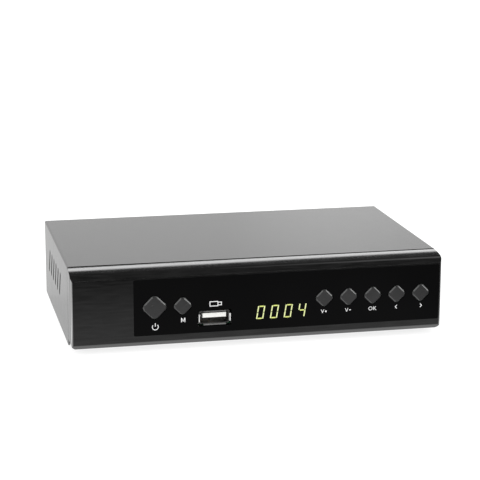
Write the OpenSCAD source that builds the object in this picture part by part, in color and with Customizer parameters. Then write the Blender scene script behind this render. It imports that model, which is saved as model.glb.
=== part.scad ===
// Terrestrial television receiver: a slim black box with a sheet-metal cover, a moulded front
// panel, a gloss display window, push keys that stand on a corner, and a front memory-stick socket.
// The origin is on the table under the middle of the whole depth. +Z is up, the front faces -Y.

/* [Body] */
// Width across the cover
body_w = 160; // [156:1:190]
// Height of the body above its feet
body_h = 33.8; // [32:0.2:44]
// Depth of the sheet-metal cover
cover_depth = 88; // [84:1:120]
// Thickness of the cover and tray sheet
sheet_t = 0.6; // [0.5:0.1:1]
// Inside radius of the sheet's bends
bend_in = 0.2; // [0.1:0.1:1.4]
// Clearance between the tray and the cover
tray_gap = 0.15; // [0.1:0.05:0.3]
// Height of the tray's side flanges
flange_h = 8; // [4:0.5:12]
// Width of the cover's in-turned rear ears
ear_w = 9; // [7:0.5:10]
// Reach of a rear ear above and below its screw
ear_reach = 11; // [5:0.5:12]
// Width of the cover's down-turned rear tab
tab_w = 13; // [9:0.5:16]
// Drop of the rear tab below the cover's top
tab_drop = 8.4; // [7:0.2:9]

/* [Feet] */
// Height of the rubber feet
foot_h = 2; // [1:0.1:6]
// Diameter of the rubber feet
foot_d = 11; // [8:0.5:14]
// Distance from a foot's centre to the cover's side
foot_in = 14; // [10:1:24]
// Distance from a foot's centre to the cover's front or rear edge
foot_back = 22; // [20:1:30]

/* [Vents] */
// Leaning slots in each side of the cover
vent_count = 6; // [2:1:7]
// Length of a side slot, end to end
vent_len = 12; // [6:0.5:16]
// Width of a side slot
vent_w = 2.4; // [1:0.1:4]
// Distance from one side slot to the next
vent_pitch = 8.2; // [6:0.1:9]
// Lean of a side slot from upright, its foot to the rear
vent_lean = 26; // [0:1:40]
// Distance from the cover's front edge to the first side slot
vent_front = 28.2; // [12:0.2:32]
// Height of the slots' middle above the underside
vent_z = 19.3; // [17:0.1:22]
// Slots in each row of the tray's floor
floor_vent_count = 9; // [3:1:11]
// Length of a floor slot, end to end
floor_vent_len = 14; // [6:1:18]
// Width of a floor slot
floor_vent_w = 2.2; // [1:0.1:3]
// Distance from one floor slot to the next
floor_vent_pitch = 6; // [4:0.5:7]

/* [Front panel] */
// Depth of the panel, from its face to the cover's front edge
panel_depth = 9.8; // [9.4:0.1:12]
// Thickness of the face wall
panel_wall = 2.4; // [2.2:0.1:3]
// Angle at which the brow falls towards the face, on the whole
brow_angle = 10; // [6:0.5:12]
// Radius of the brow's crown, from the seam to the face
brow_crown = 60; // [40:5:120]
// Radius where the brow turns into the face
brow_r = 3.2; // [1:0.1:3.2]
// Drop of the brow below the cover's top, at the seam
brow_drop = 0.2; // [0.1:0.1:0.8]
// Chin chamfer, measured back along the underside
chin_back = 1.5; // [0.8:0.1:2]
// Chin chamfer, measured up the face
chin_up = 1.9; // [0.8:0.1:3]
// Radius of the chamfer's two edges
chin_r = 0.6; // [0.2:0.1:0.8]
// Rise of the panel's underside above the tray's underside
chin_lift = 0.4; // [0.2:0.1:0.8]
// Radius of the face's upright end edges
end_r = 1; // [0.4:0.1:1]
// Radius of the panel's lower corners, seen from the front
corner_r = 2.6; // [1:0.1:4]
// Width of the dark seam between the cover and the panel
seam_gap = 0.35; // [0.2:0.05:0.6]
// Length of the tongue that slides inside the cover
tongue_len = 2.5; // [2:0.1:2.7]
// Wall of the tongue
tongue_t = 1.4; // [1:0.1:1.8]
// Clearance between the tongue and the sheet round it
tongue_gap = 0.25; // [0.1:0.05:0.4]
// Width of a snap hook under the tongue
hook_w = 10; // [6:0.5:16]
// Length of a snap hook
hook_len = 1.4; // [0.8:0.1:1.6]
// Clearance round a snap hook in its slot
hook_gap = 0.3; // [0.2:0.05:0.5]
// Distance between the outer snap hooks
hook_span = 110; // [60:1:130]

/* [Window] */
// Width of the window
window_w = 132.5; // [131.5:0.5:142]
// Distance from the window to the panel's right end
window_end = 1.2; // [1.1:0.1:4]
// Height of the window's lower edge above the underside
window_low = 5.1; // [3.5:0.1:6]
// Drop of the window's upper edge below the cover's top
window_drop = 4.8; // [4.7:0.1:7]
// Thickness of the window
window_t = 1.2; // [0.8:0.1:1.5]
// Clearance of the window in its seat
window_gap = 0.1; // [0.05:0.05:0.2]
// Radius of the window's corners
window_r = 0.6; // [0.3:0.1:1.5]

/* [Keys] */
// Side of a small square key
key_side = 6.1; // [4:0.1:6.2]
// Side of the power key
power_side = 8.1; // [6:0.1:8.2]
// Radius of a key's corners, as a share of its side
key_round = 0.24; // [0.16:0.01:0.3]
// Chamfer round a key's front
key_edge = 0.45; // [0.2:0.05:0.6]
// Height of a key's front above the face
key_proud = 0.5; // [0.2:0.1:1.2]
// Clearance round a key in its hole
key_gap = 0.3; // [0.2:0.05:0.4]
// Overhang of the rim that holds a key in
key_rim = 0.9; // [0.6:0.1:1]
// Thickness of that rim
key_rim_t = 1; // [0.8:0.1:1.2]
// Gap between a key's rim and the panel, at rest
key_stop = 0.2; // [0.1:0.05:0.3]
// Travel of a key
key_travel = 0.5; // [0.3:0.1:0.6]
// Distance from the window's left edge to the power key
power_in = 8.7; // [8:0.1:10]
// Distance from the power key to the menu key
menu_step = 11.8; // [11.2:0.1:12.4]
// Distance from the window's right edge to the last key
row_end = 8.1; // [7:0.1:9]
// Distance from one key of the right-hand row to the next
row_pitch = 10.7; // [10.4:0.1:10.9]

/* [Switches] */
// Side of a switch case
switch_side = 6; // [5:0.1:6.4]
// Height of a switch case
switch_h = 3.4; // [3:0.1:3.6]
// Diameter of a switch plunger
plunger_d = 3.4; // [2.4:0.1:3.8]
// Clearance round a plunger
plunger_gap = 0.1; // [0.05:0.05:0.1]
// Length of a plunger inside its case
plunger_bite = 1.6; // [1:0.1:1.8]
// Room left behind a plunger at the end of its travel
plunger_room = 0.3; // [0.2:0.1:0.4]

/* [Display] */
// Distance from the window's left edge to the display's middle
display_in = 62.9; // [61.5:0.1:63.9]
// Height of the display's middle above the underside
display_z = 12.2; // [11:0.1:16]
// Width of the display module
display_w = 23.4; // [20:0.1:24]
// Height of the display module
display_h = 10; // [8:0.1:11]
// Radius of the display module's corners
display_r = 0.5; // [0.2:0.1:1]
// Gap between the display module and the panel round it
display_gap = 0.3; // [0.1:0.1:0.8]
// Width of the remote-control sensor
sensor_w = 5; // [4:0.1:6]
// Height of the remote-control sensor
sensor_h = 6.4; // [5:0.1:8]
// Thickness of the remote-control sensor
sensor_t = 3.2; // [2.4:0.1:3.6]
// Diameter of the sensor's lens
sensor_d = 3.2; // [2:0.1:3.6]
// Height of the sensor's lens above the underside
sensor_z = 21; // [20:0.1:24]

/* [Boards] */
// Thickness of both circuit boards
board_t = 1.6; // [1.2:0.1:2]
// Height of the tray's bosses, under the main board
boss_h = 5.4; // [4.4:0.1:6]
// Radius of a boss at its top
boss_r = 3.2; // [2.6:0.1:4]
// Radius of a boss at the tray's floor
boss_base_r = 5; // [4.6:0.1:5.6]
// Width of the main board
board_w = 132; // [130:1:142]
// Distance from the cover's front edge to the main board
board_back = 3.4; // [3.2:0.1:6]
// Gap between the main board and the rear wall
board_rear = 0.6; // [0.4:0.1:1.2]
// Distance from the main board's edges, and from the tuner can, to its screws
board_screw_in = 5.6; // [5:0.1:6.4]
// Length of the panel's posts, which carry the front board
post_len = 5.9; // [5.7:0.1:6.4]
// Radius of those posts
post_r = 2.6; // [2.2:0.1:3]
// Gap between the front board and the panel round it
front_board_gap = 1; // [0.6:0.1:2]
// Distance from the front board's edges to its screws
front_screw_in = 4; // [3.4:0.1:5]
// Pins of the header that links the boards
link_pins = 10; // [4:1:14]
// Pitch of those pins
link_pitch = 2; // [1.8:0.1:2.54]
// Gap between the board's tab under the memory-stick socket and the header
link_step = 2.5; // [1.5:0.5:6]
// Height of the header above the main board
link_h = 8.4; // [7:0.2:10]

/* [Screws] */
// Diameter of a screw's shank
screw_d = 2.8; // [2.4:0.1:3]
// Diameter of a screw's head
screw_head_d = 5.2; // [4.4:0.1:5.6]
// Height of a screw's head
screw_head_h = 1.5; // [1:0.1:1.8]
// Clearance of a screw in its threaded hole, on the radius
thread_gap = 0.05; // [0.03:0.01:0.1]
// Clearance of a screw where it passes through, on the radius
pass_gap = 0.3; // [0.2:0.05:0.4]
// Length of a cover screw's shank
cover_screw_len = 6; // [4:0.5:8]
// Length of a main board screw's shank
board_screw_len = 5; // [4:0.5:6]
// Length of a front board screw's shank
front_screw_len = 5; // [4:0.2:5.6]

/* [Memory-stick socket] */
// Distance from the menu key to the socket
port_step = 13.7; // [13.5:0.1:14.2]
// Height of the socket's middle above the main board
port_rise = 3.5; // [3.4:0.1:4]
// Width of the socket's shell
port_w = 13.1; // [12.8:0.1:13.6]
// Height of the socket's shell
port_h = 5.6; // [5.4:0.1:6.2]
// Radius of the shell's corners
port_r = 0.9; // [0.6:0.1:0.9]
// Sheet of the sockets' metal shells
shell_t = 0.4; // [0.3:0.05:0.5]
// Length of the socket from the panel's face
port_len = 14; // [13.8:0.1:18]
// Length of a flared lip
lip_len = 1.4; // [1:0.1:1.8]
// Flare of a lip
lip_angle = 11; // [8:1:20]
// Setback of the lips behind the panel's face
lip_back = 0.2; // [0.1:0.1:0.6]
// Width of the upper and lower lips
lip_w = 9.6; // [6:0.1:10.5]
// Height of the side lips
lip_h = 3.2; // [2:0.1:3.6]
// Clearance of the socket in the panel
port_gap = 0.4; // [0.3:0.1:0.5]
// Width of the pale tongue
port_tongue_w = 10; // [8:0.1:11]
// Thickness of the pale tongue
port_tongue_t = 1.9; // [1.6:0.1:2.1]
// Rise of the tongue's middle above the socket's middle
port_tongue_rise = 0.9; // [0.7:0.1:1]
// Setback of the tongue behind the panel's face
port_tongue_back = 1.3; // [0.8:0.1:3]
// Length of the tongue
port_tongue_len = 9; // [8:0.1:10]
// Width of the main board's tab under the socket
port_tab_w = 18; // [15:0.5:20]
// Setback of that tab behind the panel's face
port_tab_back = 4.6; // [3.6:0.1:6]

/* [Aerial sockets] */
// Width of the tuner can
tuner_w = 38; // [36:0.5:38.5]
// Depth of the tuner can
tuner_d = 28; // [20:1:30]
// Height of the tuner can
tuner_h = 17; // [15:0.5:18]
// Distance from the main board's right edge to the tuner can
tuner_in = 1; // [0.5:0.1:1.5]
// Distance between the two aerial sockets
aerial_pitch = 18; // [15:0.5:20]
// Height of the aerial sockets above the main board
aerial_rise = 9; // [8:0.2:10]
// Reach of the aerial sockets behind the cover
aerial_len = 9; // [7:0.5:14]
// Outside diameter of the aerial input
aerial_in_d = 9.5; // [9:0.1:9.6]
// Inside diameter of the aerial output
aerial_out_d = 9.6; // [9.5:0.05:9.8]
// Wall of both aerial sockets
aerial_wall = 0.7; // [0.5:0.1:1]
// Step of the aerial input's collar, on the radius
aerial_collar = 0.4; // [0.2:0.1:0.8]
// Diameter of the aerial pin
aerial_pin_d = 2.4; // [2.2:0.1:2.6]
// Clearance round a socket's core, on the radius
core_gap = 0.05; // [0.03:0.01:0.1]
// Clearance between a socket and its hole in the rear wall
socket_gap = 0.4; // [0.2:0.1:0.6]

/* [Other rear sockets] */
// Gap between the tuner can and the digital video socket
video_step = 2.5; // [2:0.1:3]
// Width of the digital video socket
video_w = 15; // [14.6:0.1:15.2]
// Height of the digital video socket
video_h = 5.6; // [5.4:0.1:6]
// Depth of the digital video socket
video_d = 11; // [9:0.5:13]
// Gap between the digital video and the digital sound socket
sound_step = 3.5; // [3:0.1:4]
// Width of the digital sound socket's body
sound_w = 10; // [9:0.1:10.4]
// Height of the digital sound socket's body
sound_h = 12; // [11:0.1:14]
// Depth of the digital sound socket's body
sound_d = 9; // [8:0.5:12]
// Height of the digital sound socket above the main board
sound_rise = 7; // [6:0.1:8]
// Diameter of the digital sound ring
sound_ring_d = 8.3; // [8:0.1:8.6]
// Reach of the digital sound ring behind the cover
sound_len = 7; // [6:0.5:9]
// Diameter of the hole in the digital sound socket
sound_hole_d = 3.4; // [3.2:0.1:3.8]
// Gap between the digital sound and the picture and sound socket
av_step = 2; // [1.5:0.1:2.5]
// Width of the picture and sound socket's block
av_w = 40; // [38:0.2:40.4]
// Height of the picture and sound socket's block
av_h = 11.6; // [11:0.1:12.4]
// Slant of that block's keyed end
av_slant = 4; // [2:0.2:5]
// Groove round that block, for the plug's skirt
av_groove = 2.2; // [2:0.1:2.4]
// Depth of that groove
av_groove_d = 8; // [6:0.5:10]
// Rim of the flange outside that groove
av_rim = 1; // [0.6:0.1:1.2]
// Thickness of the flange behind the groove
av_flange_t = 3; // [2:0.5:5]
// Height of that block's middle above the main board
av_rise = 9; // [8.6:0.1:9.6]
// Contacts in each of its two rows
av_count = 10; // [6:1:10]
// Pitch of those contacts
av_pitch = 3.6; // [3.2:0.1:3.6]
// Distance from the main board's left edge to the power inlet
power_edge = 2; // [1:0.1:2.5]
// Width of the power inlet
inlet_w = 9; // [8.6:0.1:9.4]
// Height of the power inlet
inlet_h = 11; // [10:0.1:12]
// Depth of the power inlet
inlet_d = 14; // [11:0.5:16]
// Diameter of the power inlet's hole
inlet_hole_d = 6.3; // [6:0.1:6.8]
// Depth of the power inlet's hole
inlet_hole_len = 9.5; // [8:0.1:10]
// Diameter of the power inlet's centre pin
inlet_pin_d = 2; // [1.6:0.1:2.5]

/* [Board parts] */
// Side of the processor
chip_side = 20; // [14:0.5:24]
// Thickness of the processor
chip_t = 1.6; // [1:0.1:2.2]
// Place of the processor, right of the main board's middle
chip_x = 12; // [8:1:16]
// Place of the processor, behind the main board's front edge
chip_y = 30; // [28:1:32]
// Side of the heat sink
sink_side = 30; // [26:0.5:32]
// Height of the heat sink
sink_h = 11; // [6:0.5:14]
// Thickness of the heat sink's base
sink_base = 2.5; // [1.5:0.1:4]
// Fins of the heat sink
sink_fins = 8; // [4:1:10]
// Thickness of a fin
sink_fin_t = 1.2; // [0.8:0.1:1.8]
// Length of the memory chip
memory_len = 18; // [12:0.5:20]
// Width of the memory chip
memory_w = 9; // [6:0.5:10]
// Thickness of the flat chips
memory_t = 1.2; // [0.8:0.1:1.6]
// Gap between neighbouring parts on the main board
part_gap = 4; // [3:0.5:5]
// Length of the flash chip and the regulators
small_chip_len = 6; // [4:0.5:8]
// Width of the flash chip and the regulators
small_chip_w = 5; // [3:0.5:6]
// Diameter of a storage capacitor
cap_d = 8; // [5:0.5:9]
// Height of a storage capacitor
cap_h = 12; // [8:0.5:16]
// Pitch of the storage capacitors
cap_pitch = 10.5; // [9.5:0.5:12]
// Number of storage capacitors
cap_count = 3; // [1:1:4]
// Distance from the main board's left edge to the capacitors
cap_in = 16; // [14:0.5:17]
// Distance from the main board's front edge to the first capacitor
cap_y = 24; // [18:1:26]
// Diameter of a coil
coil_d = 8; // [5:0.5:9]
// Height of a coil
coil_h = 5; // [3:0.5:7]
// Length of the crystal's can
crystal_len = 10.6; // [6:0.2:11]
// Width of the crystal's can
crystal_w = 4; // [3:0.2:4.6]
// Height of the crystal's can
crystal_h = 3.4; // [2:0.2:5]

/* [Hidden] */
$fn = 48;
slip = 0.5; // run-out of a cut past the face that it opens
overcut = 1.5; // run-out of a corner's waste past its two edges, as a multiple of its radius
keen = 1.0002; // oversize of a round, so that it crosses its edges instead of grazing them

// Outside radius of the sheet's bends
bend_r = sheet_t + bend_in;

// Stations along the depth, from the front to the rear
reach_y = key_proud + panel_depth + cover_depth + aerial_len;
face_y = -reach_y / 2 + key_proud;
seam_y = face_y + panel_depth;
rear_y = seam_y + cover_depth;
wall_out_y = rear_y - sheet_t - tray_gap;
wall_in_y = wall_out_y - sheet_t;

// Heights above the table
base_z = foot_h;
top_z = base_z + body_h;
floor_z = base_z + sheet_t;
board_z = floor_z + boss_h;
deck_z = board_z + board_t;

// Front panel: its inner space, and depths measured back from its face
tan_brow = tan(brow_angle);
brow_top = body_h - brow_drop;
brow_front = brow_top - panel_depth * tan_brow;
brow_half = norm([panel_depth, brow_top - brow_front]) / 2;
brow_arm = sqrt(brow_crown * brow_crown - brow_half * brow_half);
rim_back = panel_depth - seam_gap;
inner_low = sheet_t + tongue_gap + tongue_t;
inner_top = body_h - sheet_t - tongue_gap - tongue_t;
inner_w = body_w - 2 * (sheet_t + tongue_gap + tongue_t);
front_board_back = panel_wall + post_len;
tongue_end = panel_depth + tongue_len;

// Window and what lines up with it
window_x1 = body_w / 2 - window_end;
window_x0 = window_x1 - window_w;
window_top = body_h - window_drop;
key_z = (window_low + window_top) / 2;
power_x = window_x0 + power_in;
menu_x = power_x + menu_step;
port_x = menu_x + port_step;
display_x = window_x0 + display_in;
row_x = window_x1 - row_end - 4 * row_pitch;
port_z = deck_z - base_z + port_rise;
lip_reach = lip_len * sin(lip_angle);
port_hole_w = port_w + 2 * (lip_reach + port_gap);
port_hole_h = port_h + 2 * (lip_reach + port_gap);
sensor_x = (port_x + port_hole_w / 2 + display_x - display_w / 2) / 2;

// Each key: name, place along the panel, side
KEYS = [
  ["power", power_x, power_side],
  ["menu", menu_x, key_side],
  ["volume_up", row_x, key_side],
  ["volume_down", row_x + row_pitch, key_side],
  ["ok", row_x + 2 * row_pitch, key_side],
  ["previous", row_x + 3 * row_pitch, key_side],
  ["next", row_x + 4 * row_pitch, key_side]
];

// Front board and its screws
front_board_low = inner_low + front_board_gap;
front_board_top = brow_under(front_board_back) - front_board_gap;
front_board_w = inner_w - 2 * front_board_gap;
front_screw_x = front_board_w / 2 - front_screw_in;
FRONT_SCREWS = [
  for (x = [-front_screw_x, front_screw_x])
    for (h = [front_board_low + front_screw_in, front_board_top - front_screw_in]) [x, h]
];

// Main board and its screws
board_y0 = seam_y + board_back;
board_y1 = wall_in_y - board_rear;
board_screw_x = board_w / 2 - board_screw_in;
BOARD_SCREWS = [
  for (x = [-board_screw_x, board_screw_x])
    for (y = [board_y0 + board_screw_in, board_y1 - tuner_d - board_screw_in]) [x, y]
];

// Cover screws on the rear: one in each ear and one in the middle tab
ear_z = body_h / 2;
tab_z = body_h - sheet_t - tab_drop / 2;
COVER_SCREWS = [
  [-body_w / 2 + sheet_t + ear_w / 2, ear_z],
  [body_w / 2 - sheet_t - ear_w / 2, ear_z],
  [0, tab_z]
];

// Rear sockets, each beside the one before
tuner_x = board_w / 2 - tuner_in - tuner_w / 2;
tuner_y1 = wall_in_y - board_rear;
aerial_in_x = tuner_x + aerial_pitch / 2;
aerial_out_x = tuner_x - aerial_pitch / 2;
aerial_z = deck_z + aerial_rise;
aerial_out_r = aerial_out_d / 2 + aerial_wall;
video_x = tuner_x - tuner_w / 2 - video_step - video_w / 2;
video_z = deck_z + video_h / 2;
sound_x = video_x - video_w / 2 - sound_step - sound_w / 2;
sound_z = deck_z + sound_rise;
av_flange_w = av_w + 2 * (av_groove + av_rim);
av_flange_h = av_h + 2 * (av_groove + av_rim);
av_x = sound_x - sound_w / 2 - av_step - av_flange_w / 2;
av_z = deck_z + av_rise;
inlet_x = -board_w / 2 + power_edge + inlet_w / 2;
inlet_z = deck_z + inlet_h / 2;

// Board parts
link_w = (link_pins + 1) * link_pitch;
link_x = port_x + port_tab_w / 2 + link_step + link_w / 2;
sink_y = board_y0 + chip_y;
memory_x = chip_x - sink_side / 2 - part_gap - memory_w / 2;
cap_x = -board_w / 2 + cap_in;
regulator_x = cap_x + cap_d / 2 + part_gap + small_chip_w / 2;
coil_x = regulator_x + small_chip_w / 2 + part_gap + coil_d / 2;
hook_x = hook_span / 2;

FEET = [
  for (x = [-body_w / 2 + foot_in, body_w / 2 - foot_in])
    for (y = [seam_y + foot_back, rear_y - foot_back]) [x, y]
];

// Height of the panel's inner top at a depth behind the face
function brow_under(d) = inner_top - max(0, rim_back - d) * tan_brow;

// Radius of the corners of a key
function key_corner(side) = key_round * side;

// Draws its outline upright: x across, y up, extruded from the plane y = at towards the front
module upright(x, at, z) {
  translate([x, at, z])
    rotate([90, 0, 0])
      children();
}

// As upright, at a depth behind the panel's face and a height above the underside
module at_face(x, back, h) {
  upright(x, face_y + back, base_z + h)
    children();
}

// Extrudes a side view, x back from the panel's face and y up from the underside, over a width
module side_view(w) {
  translate([-w / 2, face_y, base_z])
    rotate([90, 0, 90])
      linear_extrude(w)
        children();
}

// The waste outside a round of radius r at corner p, between its edges towards a and b
module corner_waste(p, a, b, r) {
  ua = (a - p) / norm(a - p);
  ub = (b - p) / norm(b - p);
  half = acos(ua * ub) / 2;
  reach = r / tan(half);
  middle = p + (ua + ub) / norm(ua + ub) * r / sin(half);
  difference() {
    polygon([
      for (q = [p, p + ua * reach, middle, p + ub * reach]) middle + (q - middle) * overcut
    ]);
    translate(middle)
      circle(r * keen);
  }
}

// A polygon with a radius at each corner, nought for a sharp one
module rounded_polygon(points, radii) {
  n = len(points);
  difference() {
    polygon(points);
    for (i = [0 : n - 1])
      if (radii[i] > 0)
        corner_waste(points[i], points[(i + n - 1) % n], points[(i + 1) % n], radii[i]);
  }
}

// A rectangle between two corners, with one radius
module rounded_box(x0, y0, x1, y1, r) {
  rounded_polygon([[x0, y0], [x1, y0], [x1, y1], [x0, y1]], [r, r, r, r]);
}

// A slot with round ends, upright on the origin
module slot(length, w) {
  square([w, length - w], center = true);
  for (s = [-1, 1])
    translate([0, s * (length - w) / 2])
      circle(w / 2);
}

// A square that stands on a corner
module diamond(side, r) {
  rotate(45)
    rounded_box(-side / 2, -side / 2, side / 2, side / 2, r);
}

// A pan-head screw along +Z, its head's underside on the origin
module screw(length) {
  dome = screw_head_h / 3;
  rotate_extrude()
    difference() {
      union() {
        translate([0, -length])
          square([screw_d / 2, length + screw_head_h / 2]);
        square([screw_head_d / 2, screw_head_h]);
      }
      corner_waste(
        [screw_head_d / 2, screw_head_h], [0, screw_head_h], [screw_head_d / 2, 0], dome
      );
    }
}

// Cover: a bent sheet over the top and both sides, with ears and a tab turned in at the rear
module top_cover() {
  half = body_w / 2;
  color("#242426")
    difference() {
      union() {
        upright(0, rear_y, base_z)
          linear_extrude(cover_depth)
            difference() {
              rounded_polygon(
                [[-half, 0], [half, 0], [half, body_h], [-half, body_h]], [0, 0, bend_r, bend_r]
              );
              rounded_polygon(
                [
                  [-half + sheet_t, -slip], [half - sheet_t, -slip],
                  [half - sheet_t, body_h - sheet_t], [-half + sheet_t, body_h - sheet_t]
                ],
                [0, 0, bend_r - sheet_t, bend_r - sheet_t]
              );
            }
        for (s = [-1, 1])
          translate([s * (half - (sheet_t + ear_w) / 2), rear_y - sheet_t / 2, base_z + ear_z])
            cube([sheet_t + ear_w, sheet_t, 2 * ear_reach], center = true);
        translate([-tab_w / 2, rear_y - sheet_t, top_z - sheet_t - tab_drop])
          cube([tab_w, sheet_t, tab_drop + sheet_t]);
      }
      for (i = [0 : vent_count - 1])
        translate([-half - slip, seam_y + vent_front + i * vent_pitch, base_z + vent_z])
          rotate([90, 0, 90])
            linear_extrude(body_w + 2 * slip)
              rotate(vent_lean)
                slot(vent_len, vent_w);
      for (p = COVER_SCREWS)
        upright(p[0], rear_y + slip, base_z + p[1])
          cylinder(r = screw_d / 2 + pass_gap, h = sheet_t + 2 * slip);
    }
}

// A boss pressed up from the tray's floor, to carry the main board
module pressed_boss() {
  rotate_extrude()
    polygon([
      [boss_base_r - sheet_t, 0],
      [boss_base_r, 0],
      [boss_base_r, sheet_t],
      [boss_r, sheet_t + boss_h],
      [screw_d / 2 + thread_gap, sheet_t + boss_h],
      [screw_d / 2 + thread_gap, boss_h],
      [boss_r - sheet_t, boss_h]
    ]);
}

// The sockets' holes in the rear wall, drawn upright about the frame's own middle
module rear_holes() {
  translate([aerial_in_x, aerial_z])
    circle(aerial_in_d / 2 + aerial_collar + socket_gap);
  translate([aerial_out_x, aerial_z])
    circle(aerial_out_r + socket_gap);
  translate([video_x, video_z])
    square([video_w + 2 * socket_gap, video_h + 2 * socket_gap], center = true);
  translate([sound_x, sound_z])
    circle(sound_ring_d / 2 + socket_gap);
  translate([av_x, av_z])
    av_outline(av_groove);
  translate([inlet_x, inlet_z])
    circle(inlet_hole_d / 2 + socket_gap);
  for (p = COVER_SCREWS)
    translate([p[0], base_z + p[1]])
      circle(screw_d / 2 + thread_gap);
}

// Tray: floor, side flanges and rear wall in one folded sheet
module base_tray() {
  tray_w = body_w - 2 * (sheet_t + tray_gap);
  half = tray_w / 2;
  wall_h = body_h - sheet_t - tray_gap;
  wall_out = wall_out_y - face_y;
  wall_in = wall_in_y - face_y;
  flange_y0 = face_y + tongue_end + tongue_gap;
  color("#55585b")
    difference() {
      union() {
        side_view(tray_w - 2 * bend_r)
          difference() {
            rounded_polygon(
              [[panel_depth, 0], [wall_out, 0], [wall_out, wall_h], [panel_depth, wall_h]],
              [0, bend_r, 0, 0]
            );
            rounded_polygon(
              [
                [panel_depth - slip, sheet_t], [wall_in, sheet_t],
                [wall_in, wall_h + slip], [panel_depth - slip, wall_h + slip]
              ],
              [0, bend_r - sheet_t, 0, 0]
            );
          }
        upright(0, wall_in_y, base_z)
          linear_extrude(wall_in_y - flange_y0)
            difference() {
              rounded_polygon(
                [[-half, 0], [half, 0], [half, flange_h], [-half, flange_h]],
                [bend_r, bend_r, 0, 0]
              );
              rounded_polygon(
                [
                  [-half + sheet_t, sheet_t], [half - sheet_t, sheet_t],
                  [half - sheet_t, flange_h + slip], [-half + sheet_t, flange_h + slip]
                ],
                [bend_r - sheet_t, bend_r - sheet_t, 0, 0]
              );
            }
        translate([-half, wall_in_y, base_z + bend_r])
          cube([tray_w, sheet_t, wall_h - bend_r]);
      }
      for (p = BOARD_SCREWS)
        translate([p[0], p[1], base_z - slip])
          cylinder(r = boss_base_r - sheet_t / 2, h = sheet_t + 2 * slip);
      for (row = [-1, 1])
        for (i = [0 : floor_vent_count - 1])
          translate([
            chip_x + (i - (floor_vent_count - 1) / 2) * floor_vent_pitch,
            sink_y + row * (floor_vent_len / 2 + floor_vent_w),
            base_z - slip
          ])
            linear_extrude(sheet_t + 2 * slip)
              slot(floor_vent_len, floor_vent_w);
      for (x = [-hook_x, 0, hook_x])
        translate([
          x - hook_w / 2 - hook_gap,
          face_y + tongue_end - hook_len - hook_gap,
          base_z - slip
        ])
          cube([hook_w + 2 * hook_gap, hook_len + 2 * hook_gap, sheet_t + 2 * slip]);
      upright(0, wall_out_y + slip, 0)
        linear_extrude(sheet_t + 2 * slip)
          rear_holes();
    }
  color("#55585b")
    for (p = BOARD_SCREWS)
      translate([p[0], p[1], base_z])
        pressed_boss();
}

// The front panel's side view: a crowned brow that rounds into the face, and a chamfered chin
module panel_profile() {
  crown = [
    panel_depth / 2 + brow_arm * sin(brow_angle),
    (brow_top + brow_front) / 2 - brow_arm * cos(brow_angle)
  ];
  arm = brow_crown - brow_r;
  across = crown[0] - brow_r;
  bow = [brow_r, crown[1] + sqrt(arm * arm - across * across)];
  tip = crown + (bow - crown) * brow_crown / arm;
  difference() {
    intersection() {
      rounded_polygon(
        [
          [rim_back, chin_lift], [rim_back, body_h], [0, body_h],
          [0, chin_lift + chin_up], [chin_back, chin_lift]
        ],
        [0, 0, 0, chin_r, chin_r]
      );
      translate(crown)
        circle(brow_crown);
    }
    difference() {
      polygon([
        for (q = [bow, [0, bow[1]], [0, tip[1]], tip]) bow + (q - bow) * overcut
      ]);
      translate(bow)
        circle(brow_r * keen);
    }
  }
}

// The front panel's outer form: its side view, its plan and its front view together
module panel_block() {
  half = body_w / 2;
  intersection() {
    side_view(body_w)
      panel_profile();
    translate([0, face_y, base_z - slip])
      linear_extrude(body_h + 2 * slip)
        rounded_polygon(
          [[-half, 0], [half, 0], [half, panel_depth], [-half, panel_depth]],
          [end_r, end_r, 0, 0]
        );
    at_face(0, panel_depth, 0)
      linear_extrude(panel_depth + slip)
        rounded_polygon(
          [
            [-half, chin_lift], [half, chin_lift],
            [half, brow_top], [-half, brow_top]
          ],
          [corner_r, corner_r, bend_r, bend_r]
        );
  }
}

// The holes that keys and socket share in the panel and the window
module front_holes() {
  for (k = KEYS)
    translate([k[1], key_z])
      diamond(k[2] + 2 * key_gap, key_corner(k[2]) + key_gap);
  translate([port_x, port_z])
    rounded_box(-port_hole_w / 2, -port_hole_h / 2, port_hole_w / 2, port_hole_h / 2, port_r);
}

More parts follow.
